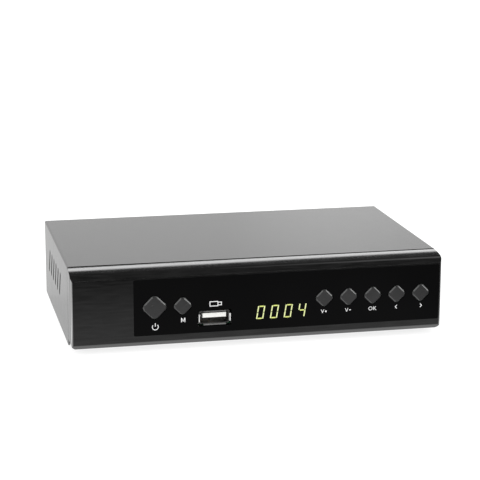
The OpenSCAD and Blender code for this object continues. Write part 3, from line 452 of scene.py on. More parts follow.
@dataclass(frozen=True)
class LaminateFinish(Finish):
    """A circuit board: a coloured mask over copper tracks."""

    cell_mm: float = 3.3
    loose: float = 0.65
    track: Point2 = (0.05, 0.09)

    def colour(self, graph: Graph) -> None:
        """Joins a colour with lighter tracks in a loose net.

        Args:
            graph: The material's nodes.
        """
        tracks = graph.add("ShaderNodeTexVoronoi", feature="DISTANCE_TO_EDGE", distance="EUCLIDEAN")
        tracks.inputs["Scale"].default_value = 1.0
        tracks.inputs["Randomness"].default_value = self.loose
        graph.join(graph.stretched(self.cell_mm, Axis.NONE), tracks.inputs["Vector"])
        edge = graph.ramp(tracks.outputs["Distance"], self.track, (1.0, 0.0))
        mixed = graph.blend(edge, self.shade(-self.mottle), self.shade(2.0 * self.mottle))
        graph.join(mixed, graph.shader.inputs["Base Color"])


@dataclass(frozen=True)
class LitFinish(Finish):
    """A lit display segment, a little uneven along its length."""

    power: float = 1.0
    unlit: float = -0.9

    def paint(self) -> bpy.types.Material:
        """Builds the material.

        Returns:
            The finished material.
        """
        graph = Graph(self.name)
        graph.set(Base_Color=(*self.shade(self.unlit), 1.0), Roughness=self.roughness, Specular_IOR_Level=0.0)
        graph.set(Emission_Strength=self.power)
        bright = graph.spread(graph.noise(self.patch_mm), 0.0, 1.0)
        mixed = graph.blend(bright, self.shade(-self.mottle), self.shade(self.mottle))
        graph.join(mixed, graph.shader.inputs["Emission Color"])
        return graph.material


@dataclass(frozen=True)
class MouthFinish(Finish):
    """Plated sheet round a socket's mouth, with painted shade: dark further in from its lips, and darker
    across the middle of its width than at its ends.

    The reach is measured from the mouth's middle, and the depth from its lips.
    """

    node: str = "stick_socket_shell"
    reach_mm: Point2 = (5.2, 5.9)
    depth_mm: Point2 = (0.576, 1.526)
    # Painted shade: the share of the colour left deep in the mouth, and across the middle of its width
    inside: float = 0.03
    across: float = 0.18
    worn_mm: float = 2.0
    worn_to: float = 0.85

    def colour(self, graph: Graph) -> None:
        """Joins a colour with painted shade, darker from the mouth inwards and from its ends to its middle,
        with a little random tone.

        Args:
            graph: The material's nodes.
        """
        low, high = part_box(self.node)
        place = graph.parts(graph.place)
        # Painted shade: darker deeper in the mouth from its lips, and across the middle of its width
        depth = graph.ramp(place["Y"], tuple(low.y + d * MM for d in self.depth_mm), (1.0, 0.0))
        off = graph.math("ABSOLUTE", graph.math("SUBTRACT", place["X"], (low.x + high.x) / 2))
        ends = graph.ramp(off, tuple(r * MM for r in self.reach_mm), (self.across, 1.0))
        worn_and_shade = graph.math("MULTIPLY", graph.spread(graph.noise(self.worn_mm), self.worn_to, 1.0), ends)
        mixed = graph.blend(graph.math("MULTIPLY", worn_and_shade, depth), self.shade(self.inside - 1.0), self.base)
        graph.join(mixed, graph.shader.inputs["Base Color"])


@dataclass(frozen=True)
class FloorFinish(Finish):
    """A pale floor with a glow of its own.

    In what mirrors it, it fades ahead of the box, is bright beside the left end and along the front's foot,
    and dim beside the right end. Spans run backwards from the front panel's face, or outwards from its ends.
    """

    node: str = "front_panel"
    fade_mm: Point2 = (-135.55, -0.55)
    bright_out_mm: Point2 = (10.0, 24.0)
    bright_back_mm: Point2 = (8.15, 68.15)
    bright_glow: float = 1.2
    dim_out_mm: Point2 = (3.0, 20.0)
    dim_back_mm: Point2 = (23.15, 113.15)
    dim_to: float = 0.2
    foot_from_mm: Point2 = (-6.85, -4.85)
    foot_to_mm: Point2 = (11.15, 13.15)
    foot_glow: float = 1.25
    glow: float = 0.80
    mirrored_base: float = 0.24
    mirrored_glow: float = 0.49

    def colour(self, graph: Graph) -> None:
        """Joins the floor's colour and its glow, as the eye and as the gloss sees them.

        Args:
            graph: The material's nodes.
        """
        low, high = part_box(self.node)
        place = graph.parts(graph.place)
        back = graph.math("DIVIDE", graph.math("SUBTRACT", place["Y"], low.y), MM)
        left = graph.math("DIVIDE", graph.math("SUBTRACT", place["X"], low.x), -MM)
        right = graph.math("DIVIDE", graph.math("SUBTRACT", place["X"], high.x), MM)
        fade = graph.ramp(back, self.fade_mm, (0.0, 1.0))
        dim = graph.ramp(right, self.dim_out_mm, (0.0, 1.0))
        dim = graph.math("MULTIPLY", dim, graph.ramp(back, self.dim_back_mm, (1.0, 0.0)))
        fade = graph.math("MULTIPLY", fade, graph.ramp(dim, (0.0, 1.0), (1.0, self.dim_to)))
        bright = graph.ramp(left, self.bright_out_mm, (0.0, self.bright_glow))
        bright = graph.math("MULTIPLY", bright, graph.ramp(back, self.bright_back_mm, (1.0, 0.0)))
        foot = graph.ramp(back, self.foot_from_mm, (0.0, self.foot_glow))
        foot = graph.math("MULTIPLY", foot, graph.ramp(back, self.foot_to_mm, (1.0, 0.0)))
        soft = graph.math("MULTIPLY", fade, self.mirrored_glow)
        soft = graph.math("ADD", soft, graph.math("ADD", foot, bright))
        mirrored = graph.add("ShaderNodeLightPath").outputs["Is Glossy Ray"]
        base = graph.either(mirrored, self.base[0], graph.math("MULTIPLY", fade, self.mirrored_base))
        graph.join(base, graph.shader.inputs["Base Color"])
        graph.join(graph.either(mirrored, self.glow, soft), graph.shader.inputs["Emission Color"])
        graph.set(Emission_Strength=1.0)


COVER_PAINT = Finish(
    "cover_paint", (0.014, 0.014, 0.0135), roughness=0.13, uneven=0.01, mottle=0.08, patch_mm=12.0,
    grain_mm=0.9, relief_mm=0.0007, specular=0.62,
)
TRAY_ZINC = SpangleFinish(
    "tray_zinc", (0.47, 0.475, 0.48), roughness=0.34, uneven=0.06, mottle=0.06, metallic=1.0,
    crystal_mm=3.0, grain_mm=0.5, relief_mm=0.002,
)
PANEL_GLOSS = HairlineFinish(
    "panel_gloss", (0.0062, 0.0062, 0.0062), roughness=0.09, uneven=0.015, mottle=0.55, patch_mm=24.0,
    relief_mm=0.003, specular=0.47,
)
WINDOW_SMOKE = Finish(
    "window_smoke", (0.0031, 0.0031, 0.0032), roughness=0.07, uneven=0.03, mottle=0.1, patch_mm=40.0,
    grain_mm=6.0, relief_mm=0.0006, specular=0.03,
)
KEY_SATIN = Finish(
    "key_satin", (0.023, 0.023, 0.0232), roughness=0.24, uneven=0.04, mottle=0.08, grain_mm=0.12,
    relief_mm=0.0012, specular=0.5,
)
FOOT_RUBBER = Finish(
    "foot_rubber", (0.022, 0.022, 0.022), roughness=0.78, mottle=0.25, grain_mm=0.25, relief_mm=0.02,
    specular=0.3,
)
BLACK_SCREW = Finish(
    "black_screw", (0.060, 0.060, 0.062), roughness=0.36, metallic=1.0, mottle=0.3, patch_mm=1.2,
    grain_mm=0.2,
)
BRIGHT_STEEL = Finish(
    "bright_steel", (0.60, 0.60, 0.59), roughness=0.30, metallic=1.0, mottle=0.12, patch_mm=1.5,
    grain_mm=0.2,
)
SOCKET_PLATE = Finish(
    "socket_plate", (0.66, 0.655, 0.64), roughness=0.20, uneven=0.07, metallic=1.0, mottle=0.10,
    patch_mm=2.0, grain_mm=0.3, relief_mm=0.0015, axis=Axis.DEPTH,
)
STICK_PLATE = MouthFinish(
    "stick_plate", (0.90, 0.90, 0.89), roughness=0.30, uneven=0.06, metallic=0.35, grain_mm=0.3,
    relief_mm=0.0015,
)
CAN_TIN = SpangleFinish(
    "can_tin", (0.56, 0.56, 0.555), roughness=0.30, metallic=1.0, mottle=0.10, crystal_mm=2.5,
    relief_mm=0.002,
)
CONTACT_GOLD = Finish(
    "contact_gold", (0.80, 0.57, 0.22), roughness=0.24, metallic=1.0, mottle=0.12, patch_mm=1.0,
    grain_mm=0.15, relief_mm=0.001,
)
SINK_ALUMINIUM = Finish(
    "sink_aluminium", (0.58, 0.585, 0.59), roughness=0.36, metallic=1.0, mottle=0.08, patch_mm=3.0,
    grain_mm=0.2, relief_mm=0.003, axis=Axis.DEPTH,
)
BOARD_GREEN = LaminateFinish(
    "board_green", (0.012, 0.085, 0.035), roughness=0.34, mottle=0.3, grain_mm=0.3, relief_mm=0.003,
)
CHIP_BLACK = Finish(
    "chip_black", (0.020, 0.020, 0.021), roughness=0.55, mottle=0.2, patch_mm=2.0, grain_mm=0.08,
    relief_mm=0.004,
)
SOCKET_BLACK = Finish(
    "socket_black", (0.013, 0.013, 0.0135), roughness=0.42, mottle=0.2, patch_mm=3.0, grain_mm=0.18,
    relief_mm=0.004,
)
DISPLAY_GREY = Finish(
    "display_grey", (0.045, 0.046, 0.05), roughness=0.5, mottle=0.15, patch_mm=3.0, grain_mm=0.12,
)
SENSOR_DARK = Finish(
    "sensor_dark", (0.016, 0.010, 0.018), roughness=0.12, uneven=0.04, mottle=0.2, patch_mm=2.0,
    relief_mm=0.001,
)
HEADER_CREAM = Finish(
    "header_cream", (0.66, 0.60, 0.47), roughness=0.5, mottle=0.08, patch_mm=3.0, grain_mm=0.15,
)
TONGUE_PALE = Finish(
    "tongue_pale", (0.80, 0.80, 0.77), roughness=0.38, mottle=0.05, patch_mm=2.0, grain_mm=0.15,
    relief_mm=0.002,
)
CORE_PALE = Finish(
    "core_pale", (0.78, 0.75, 0.66), roughness=0.45, mottle=0.06, patch_mm=2.0, grain_mm=0.15,
    relief_mm=0.003,
)
SOUND_ORANGE = Finish(
    "sound_orange", (0.62, 0.17, 0.015), roughness=0.42, mottle=0.08, patch_mm=3.0, grain_mm=0.15,
    relief_mm=0.003,
)
CAPACITOR_BLUE = Finish(
    "capacitor_blue", (0.012, 0.020, 0.075), roughness=0.28, uneven=0.06, mottle=0.15, patch_mm=3.0,
    grain_mm=0.4, relief_mm=0.003,
)
COIL_FERRITE = Finish(
    "coil_ferrite", (0.035, 0.033, 0.031), roughness=0.62, mottle=0.25, patch_mm=1.0, grain_mm=0.12,
    relief_mm=0.01,
)
PLUNGER_PALE = Finish(
    "plunger_pale", (0.72, 0.69, 0.62), roughness=0.45, mottle=0.06, patch_mm=1.5, grain_mm=0.12,
    relief_mm=0.003,
)
SIGN_INK = Finish(
    "sign_ink", (0.74, 0.74, 0.74), roughness=0.5, mottle=0.07, patch_mm=0.8, grain_mm=0.08,
    relief_mm=0.001,
)
UPRIGHT_LIGHT = LitFinish("upright_light", (0.80, 0.86, 0.42), roughness=0.5, mottle=0.15, patch_mm=0.5)
BAR_LIGHT = LitFinish("bar_light", (0.74, 0.81, 0.24), roughness=0.5, mottle=0.15, patch_mm=0.5)
FLOOR_PALE = FloorFinish(
    "floor_pale", (0.33, 0.33, 0.33), roughness=0.9, uneven=0.02, patch_mm=400.0, grain_mm=50.0,
    relief_mm=0.0, specular=0.0,
)

KEY_NAMES = ("power", "menu", "volume_up", "volume_down", "ok", "previous", "next")
NODE_FINISHES: dict[Finish, tuple[str, ...]] = {
    COVER_PAINT: ("top_cover",),
    TRAY_ZINC: ("base_tray",),
    PANEL_GLOSS: ("front_panel",),
    WINDOW_SMOKE: ("display_window",),
    FOOT_RUBBER: ("rubber_feet",),
    BRIGHT_STEEL: ("link_pins_row", "power_inlet_pin"),
    BOARD_GREEN: ("main_board", "front_board"),
    CHIP_BLACK: ("switch_cases", "processor", "memory_chip", "flash_chip", "regulators"),
    DISPLAY_GREY: ("display_module",),
    SENSOR_DARK: ("remote_sensor",),
    HEADER_CREAM: ("link_header",),
    SOCKET_PLATE: ("video_socket_shell", "aerial_input", "aerial_output", "sound_socket_ring"),
    STICK_PLATE: ("stick_socket_shell",),
    TONGUE_PALE: ("stick_socket_core",),
    CONTACT_GOLD: ("stick_socket_contacts", "aerial_output_core"),
    CAN_TIN: ("tuner_can", "crystal"),
    CORE_PALE: ("aerial_input_core",),
    SOCKET_BLACK: ("video_socket_core", "av_socket", "power_inlet"),
    SOUND_ORANGE: ("sound_socket_body",),
    SINK_ALUMINIUM: ("heat_sink",),
    CAPACITOR_BLUE: ("storage_capacitors",),
    COIL_FERRITE: ("coils",),
    KEY_SATIN: tuple(f"{k}_key" for k in KEY_NAMES),
    PLUNGER_PALE: tuple(f"{k}_plunger" for k in KEY_NAMES),
}


def finished(name: str, mesh: bpy.types.Mesh, material: bpy.types.Material | None = None) -> bpy.types.Object:
    """Puts a mesh in the scene, at the origin.

    Args:
        name: Name of the piece.
        mesh: Its mesh, already in place.
        material: Its finish, if the mesh doesn't carry one.

    Returns:
        The new object.
    """
    if material is not None:
        mesh.materials.clear()
        mesh.materials.append(material)
    piece = bpy.data.objects.new(name, mesh)
    bpy.context.scene.collection.objects.link(piece)
    return piece


def islands(node: bpy.types.Object) -> list[tuple[Vector, Vector]]:
    """The boxes of the separate solids in a node.

    Args:
        node: A node of the frame.

    Returns:
        The lowest and highest corner of each solid, ordered by place.
    """
    bm = bmesh.new()
    bm.from_mesh(node.data)
    bmesh.ops.remove_doubles(bm, verts=bm.verts, dist=WELD)
    left = set(bm.verts)
    boxes = []
    while left:
        stack = [left.pop()]
        found = list(stack)
        while stack:
            for edge in stack.pop().link_edges:
                for vert in edge.verts:
                    if vert in left:
                        left.remove(vert)
                        stack.append(vert)
                        found.append(vert)
        low = Vector([min(v.co[i] for v in found) for i in range(3)])
        high = Vector([max(v.co[i] for v in found) for i in range(3)])
        boxes.append((low, high))
    bm.free()
    return sorted(boxes, key=lambda box: tuple(round(c, 5) for c in box[0]))


def beside(node: str, off: Point2) -> Point2:
    """A place on the front, measured from the middle of a node.

    Args:
        node: A node of the frame.
        off: How far to the right and up, in millimetres.

    Returns:
        The place as (x, z), in metres.
    """
    low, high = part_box(node)
    return near(((low.x + high.x) / 2, (low.z + high.z) / 2), *off)


def near(place: Point2, right: float, up: float) -> Point2:
    """A place on the front, measured in millimetres from another one."""
    return (place[0] + right * MM, place[1] + up * MM)


class Stencil:
    """Flat shapes drawn on an upright plane and given a hair's thickness towards the front."""

    ARC_STEPS = 40
    LETTER_SPACE = 1.1
    # Height of a capital of Blender's own letters, as a share of their size
    CAPITAL = 0.729
    # A mitre reaches no further from its path than half the stroke over this share
    MITRE = 0.5

    def __init__(self, plane_y: float, thick: float) -> None:
        """Starts an empty stencil.

        Args:
            plane_y: Depth of the plane, in metres.
            thick: Thickness of the shapes, in metres.
        """
        self.plane_y = plane_y
        self.thick = thick
        self.bm = bmesh.new()

    def polygon(self, points: Sequence[Point2]) -> None:
        """Adds a filled polygon, anticlockwise as seen from the front.

        Args:
            points: Corners as (x, z), in metres.
        """
        front = [self.bm.verts.new((x, self.plane_y - self.thick, z)) for x, z in points]
        back = [self.bm.verts.new((x, self.plane_y, z)) for x, z in points]
        count = len(points)
        self.bm.faces.new(front)
        self.bm.faces.new(list(reversed(back)))
        for i in range(count):
            j = (i + 1) % count
            self.bm.faces.new((front[i], back[i], back[j], front[j]))

    def strip(self, path: Sequence[Point2], width: float) -> None:
        """Adds a stroke of even width along a path.

        Args:
            path: Points as (x, z), in metres.
            width: Width of the stroke.
        """
        spots = [Vector(p) for p in path]
        runs = [(b - a).normalized() for a, b in zip(spots, spots[1:])]
        left, right = [], []
        for here, come, leave in zip(spots, runs[:1] + runs, runs + runs[-1:]):
            ahead = (come + leave).normalized()
            across = Vector((-ahead.y, ahead.x)) * (width / 2 / max(self.MITRE, ahead.dot(come)))
            left.append(tuple(here + across))
            right.append(tuple(here - across))
        self.polygon(right + left[::-1])

    def frame(self, low: Point2, high: Point2, width: float) -> None:
        """Adds a rectangular frame.

        Args:
            low: Its lower left corner as (x, z), measured to the middle of the stroke, in metres.
            high: Its upper right corner.
            width: Width of the stroke.
        """
        rings = []
        for grow in (width / 2, -width / 2):
            x0, z0, x1, z1 = low[0] - grow, low[1] - grow, high[0] + grow, high[1] + grow
            corners = ((x0, z0), (x1, z0), (x1, z1), (x0, z1))
            for y in (self.plane_y - self.thick, self.plane_y):
                rings.append([self.bm.verts.new((x, y, z)) for x, z in corners])
        front, back, inner_front, inner_back = rings
        for one, two in ((front, inner_front), (inner_front, inner_back), (inner_back, back), (back, front)):
            for i in range(4):
                j = (i + 1) % 4
                self.bm.faces.new((one[i], one[j], two[j], two[i]))

    def arc(self, middle: Point2, radius: float, start: float, end: float, width: float) -> None:
        """Adds a stroke along an arc.

        Args:
            middle: Centre as (x, z).
            radius: Radius of the stroke's middle.
            start: First angle in degrees, from +X towards +Z.
            end: Last angle in degrees.
            width: Width of the stroke.
        """
        step = (end - start) / self.ARC_STEPS
        turns = [math.radians(start + step * i) for i in range(self.ARC_STEPS + 1)]
        x, z = middle
        self.strip([(x + radius * math.cos(t), z + radius * math.sin(t)) for t in turns], width)

    def letters(self, text: str, middle: Point2, height: float) -> None:
        """Adds plain block letters.

        Args:
            text: The letters.
            middle: Middle of the word as (x, z).
            height: Height of a capital, in metres.
        """
        curve = bpy.data.curves.new("letters", "FONT")
        curve.body = text
        curve.space_character = self.LETTER_SPACE
        curve.extrude = 0.5
        writing = bpy.data.objects.new("letters", curve)
        bpy.context.scene.collection.objects.link(writing)
        bpy.context.view_layer.update()
        mesh = bpy.data.meshes.new_from_object(writing)
        xs = [v.co.x for v in mesh.vertices]
        ys = [v.co.y for v in mesh.vertices]
        scale = height / self.CAPITAL
        mesh.transform(Matrix.Translation((-(min(xs) + max(xs)) / 2, -(min(ys) + max(ys)) / 2, 0.5)))
        mesh.transform(Matrix.Diagonal((scale, scale, self.thick, 1.0)))
        mesh.transform(Matrix.Rotation(math.pi / 2, 4, "X"))
        mesh.transform(Matrix.Translation((middle[0], self.plane_y, middle[1])))
        self.bm.from_mesh(mesh)
        bpy.data.objects.remove(writing)
        bpy.data.curves.remove(curve)
        bpy.data.meshes.remove(mesh)

    def mesh(self, name: str) -> bpy.types.Mesh:
        """Ends the stencil.

        Args:
            name: Name of the mesh.

        Returns:
            The closed shapes as one mesh, with their faces outwards.
        """
        bmesh.ops.remove_doubles(self.bm, verts=self.bm.verts, dist=SIGN_WELD)
        bmesh.ops.recalc_face_normals(self.bm, faces=self.bm.faces)
        mesh = bpy.data.meshes.new(name)
        self.bm.to_mesh(mesh)
        self.bm.free()
        return mesh


class FieldTree(NodeNet):
    """A Geometry Nodes tree with named inputs, which is run once and left as a plain mesh."""

    def __init__(self, name: str) -> None:
        """Starts a tree that takes a mesh of points.

        Args:
            name: Name of the tree.
        """
        super().__init__(bpy.data.node_groups.new(name, "GeometryNodeTree"))
        self.tree.interface.new_socket("Geometry", in_out="INPUT", socket_type="NodeSocketGeometry")
        self.tree.interface.new_socket("Geometry", in_out="OUTPUT", socket_type="NodeSocketGeometry")
        self.keys: dict[str, str] = {}
        self.entry = self.add("NodeGroupInput")
        self.exit = self.add("NodeGroupOutput")

    def take(self, name: str, kind: str = "NodeSocketFloat") -> Socket:
        """Adds a named input.

        Args:
            name: Name of the input.
            kind: Its socket type.

        Returns:
            The input's socket inside the tree.
        """
        item = self.tree.interface.new_socket(name, in_out="INPUT", socket_type=kind)
        self.keys[name] = item.identifier
        return self.entry.outputs[name]

    def vector(self, *parts: Socket | float) -> Socket:
        """Puts a vector together.

        Args:
            *parts: Its three parts.

        Returns:
            A vector socket.
        """
        node = self.add("ShaderNodeCombineXYZ")
        for socket, part in zip(node.inputs, parts):
            if isinstance(part, float):
                socket.default_value = part
            else:
                self.join(part, socket)
        return node.outputs["Vector"]

    def shift(self, shape: Socket, move: Socket | None = None, scale: Socket | None = None) -> Socket:
        """Moves and scales a shape.

        Args:
            shape: The shape.
            move: Its shift, if any.
            scale: Its scale, if any.

        Returns:
            The shape's socket.
        """
        node = self.add("GeometryNodeTransform")
        self.join(shape, node.inputs["Geometry"])
        if move is not None:
            self.join(move, node.inputs["Translation"])
        if scale is not None:
            self.join(scale, node.inputs["Scale"])
        return node.outputs["Geometry"]

    def cut(self, kind: Cut, first: Socket, others: Sequence[Socket]) -> Socket:
        """Cuts or crosses shapes.

        Args:
            kind: What is left of the first shape.
            first: The first shape.
            others: The other shapes.

        Returns:
            The result's socket.
        """
        node = self.add("GeometryNodeMeshBoolean", operation=kind.value, solver="EXACT")
        self.join(first, node.inputs["Mesh 1" if kind is Cut.AWAY else "Mesh 2"])
        for shape in others:
            self.join(shape, node.inputs["Mesh 2"])
        return node.outputs["Mesh"]

    def scatter(self, shape: Socket, side: Side, spin: float) -> None:
        """Sets a shape on every point, makes it real, gives it its finish and ends the tree.

        Args:
            shape: The shape to repeat.
            side: The way that the shapes face.
            spin: Largest turn of a shape about its own axis, in radians.
        """
        place = self.add("GeometryNodeInstanceOnPoints")
        self.join(self.entry.outputs["Geometry"], place.inputs["Points"])
        self.join(shape, place.inputs["Instance"])
        place.inputs["Rotation"].default_value = side.value
        turn = self.add("GeometryNodeRotateInstances")
        self.join(place.outputs["Instances"], turn.inputs["Instances"])
        lot = self.add("FunctionNodeRandomValue", data_type="FLOAT_VECTOR")
        lot.inputs["Max"].default_value = (0.0, 0.0, spin)
        lot.inputs["Seed"].default_value = SEED
        self.join(lot.outputs["Value"], turn.inputs["Rotation"])
        real = self.add("GeometryNodeRealizeInstances")
        self.join(turn.outputs["Instances"], real.inputs["Geometry"])
        finish = self.add("GeometryNodeSetMaterial")
        self.join(real.outputs["Geometry"], finish.inputs["Geometry"])
        self.join(self.take("Finish", "NodeSocketMaterial"), finish.inputs["Material"])
        self.join(finish.outputs["Geometry"], self.exit.inputs["Geometry"])

    def run(self, name: str, points: Sequence[Vector], **values: object) -> bpy.types.Object:
        """Runs the tree on points and keeps the result as a plain mesh.

        Args:
            name: Name of the piece.
            points: Where the shapes stand.
            **values: The named inputs, with _ for a space.

        Returns:
            The finished piece.
        """
        mesh = bpy.data.meshes.new(f"{name}_points")
        mesh.from_pydata([tuple(p) for p in points], [], [])
        carrier = bpy.data.objects.new(f"{name}_carrier", mesh)
        bpy.context.scene.collection.objects.link(carrier)
        modifier = carrier.modifiers.new("fittings", "NODES")
        modifier.node_group = self.tree
        for key, value in values.items():
            modifier[self.keys[key.replace("_", " ")]] = value
        bpy.context.view_layer.update()
        ready = carrier.evaluated_get(bpy.context.evaluated_depsgraph_get())
        made = bpy.data.meshes.new_from_object(ready)
        bpy.data.objects.remove(carrier)
        bpy.data.meshes.remove(mesh)
        made.name = name
        return finished(name, made)


@dataclass
class Housing:
    """The box itself: every node of the frame gets its finish."""

    nodes: dict[str, bpy.types.Object]

    def dress(self, paints: dict[Finish, bpy.types.Material]) -> None:
        """Gives each node its finish.

        Args:
            paints: The material of each finish.
        """
        for finish, names in NODE_FINISHES.items():
            for name in names:
                mesh = self.nodes[name].data
                mesh.materials.clear()
                mesh.materials.append(paints[finish])
                LOG.info("%s: %s", name, finish.name)


@dataclass
class Screws:
    """Pan-head screws with a cross recess, in place of the plain ones of the frame."""

    nodes: dict[str, bpy.types.Object]
    head_h: float = 1.5
    shank_r: float = 1.4
    recess_w: float = 0.75
    recess_len: float = 2.9
    recess_d: float = 0.9
    crown: float = 1.12
    head_sides: int = 40
    head_rings: int = 20
    shank_sides: int = 24

    def tree(self, name: str, side: Side) -> FieldTree:
        """Builds the tree of one screw, repeated on points.

        Args:
            name: Name of the tree.
            side: The way that the heads face.

        Returns:
            The tree.
        """
        field = FieldTree(name)
        radius, height = field.take("Head radius"), field.take("Head height")
        shank = field.take("Shank length")
        dome = field.add("GeometryNodeMeshUVSphere")
        dome.inputs["Segments"].default_value = self.head_sides
        dome.inputs["Rings"].default_value = self.head_rings
        dome.inputs["Radius"].default_value = 1.0
        wide = field.math("MULTIPLY", radius, self.crown)
        crown = field.shift(dome.outputs["Mesh"], None, field.vector(wide, wide, height))
        drum = field.add("GeometryNodeMeshCylinder")
        drum.inputs["Vertices"].default_value = self.head_sides
        field.join(radius, drum.inputs["Radius"])
        field.join(field.math("MULTIPLY", height, 2.0), drum.inputs["Depth"])
        lifted = field.shift(drum.outputs["Mesh"], field.vector(0.0, 0.0, height))
        head = field.cut(Cut.COMMON, crown, [lifted])
        wings = []
        for w, d in ((self.recess_w, self.recess_len), (self.recess_len, self.recess_w)):
            wing = field.add("GeometryNodeMeshCube")
            wing.inputs["Size"].default_value = (w * MM, d * MM, 2.0 * self.recess_d * MM)
            wings.append(field.shift(wing.outputs["Mesh"], field.vector(0.0, 0.0, height)))
        head = field.cut(Cut.AWAY, head, wings)
        rod = field.add("GeometryNodeMeshCylinder")
        rod.inputs["Vertices"].default_value = self.shank_sides
        rod.inputs["Radius"].default_value = self.shank_r * MM
        field.join(shank, rod.inputs["Depth"])
        down = field.vector(0.0, 0.0, field.math("MULTIPLY", shank, -0.5))
        both = field.add("GeometryNodeJoinGeometry")
        field.join(head, both.inputs["Geometry"])
        field.join(field.shift(rod.outputs["Mesh"], down), both.inputs["Geometry"])
        field.scatter(both.outputs["Geometry"], side, math.pi / 2)
        return field

    def build(self, node: str, slot: str, side: Side, paint: bpy.types.Material) -> None:
        """Makes the screws of one node.

        Args:
            node: The node whose plain screws they stand for.
            slot: A slot name for their finish; not used.
            side: The way that their heads face.
            paint: Their finish.
        """
        axis = 2 if side is Side.UP else 1
        head_h = self.head_h * MM
        boxes = islands(self.nodes[node])
        points = []
        for low, high in boxes:
            seat = (low + high) / 2
            seat[axis] = high[axis] - head_h
            points.append(seat)
        low, high = boxes[-1]
        piece = self.tree(f"{node}_field", side).run(
            f"{node}_crossed", points, Head_radius=(high.x - low.x) / 2, Head_height=head_h,
            Shank_length=high[axis] - low[axis] - head_h, Finish=paint,
        )
        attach(piece, "housing")
        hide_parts(node)
        LOG.info("%s: %d screws", piece.name, len(points))


class Strokes(Enum):
    """The segments of a figure, by the way they run."""

    UPRIGHTS = "bcef"
    BARS = "adg"


@dataclass
class Display:
    """The four lit figures that shine through the window, in front of the display module."""

    off: Point2 = (-0.03, 0.1)
    pitch: float = 5.98
    height: float = 5.75
    width: float = 2.62
    stroke: float = 0.50
    lean: float = 0.16
    gap: float = 0.28
    inset: float = 0.14
    trim: float = 0.12
    thick: float = 0.02
    reading: str = "0004"
    lit: tuple[tuple[str, str], ...] = (("0", "abcdef"), ("4", "bcfg"))

    def segments(self) -> dict[str, list[Point2]]:
        """Works out the seven segments of a figure.

        Returns:
            The corners of each, from the figure's middle, in millimetres.
        """
        half, top = self.stroke / 2, self.height / 2
        inner = self.width / 2 - half - self.inset
        boxes = {
            "a": (-inner, top - self.stroke, inner, top),
            "g": (-inner, -half, inner, half),
            "d": (-inner, -top, inner, self.stroke - top),
        }
        inner_end, outer_end = self.gap / 2, top - self.trim
        for key, side, rise in (("b", 1, 1), ("c", 1, -1), ("e", -1, -1), ("f", -1, 1)):
            x = side * self.width / 2
            low, high = sorted((rise * inner_end, rise * outer_end))
            boxes[key] = (x - half, low, x + half, high)
        return {k: [(x0, z0), (x1, z0), (x1, z1), (x0, z1)] for k, (x0, z0, x1, z1) in boxes.items()}

    def build(self, face_y: float, strokes: Strokes, paint: bpy.types.Material) -> None:
        """Makes the segments of one kind, of all figures, as one piece.

        Args:
            face_y: Depth of the window's face, in metres.
            strokes: Which segments.
            paint: Their finish.
        """
        stencil = Stencil(face_y, self.thick * MM)
        shapes, wanted = self.segments(), dict(self.lit)
        middle = beside("display_module", self.off)
        for i, figure in enumerate(self.reading):
            right = (i - (len(self.reading) - 1) / 2) * self.pitch
            for key in (k for k in wanted[figure] if k in strokes.value):
                stencil.polygon([near(middle, right + x + self.lean * z, z) for x, z in shapes[key]])
        name = f"figure_{strokes.name.lower()}"
        piece = finished(name, stencil.mesh(name), paint)
        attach(piece, "housing")
        LOG.info("%s: %s", piece.name, self.reading)


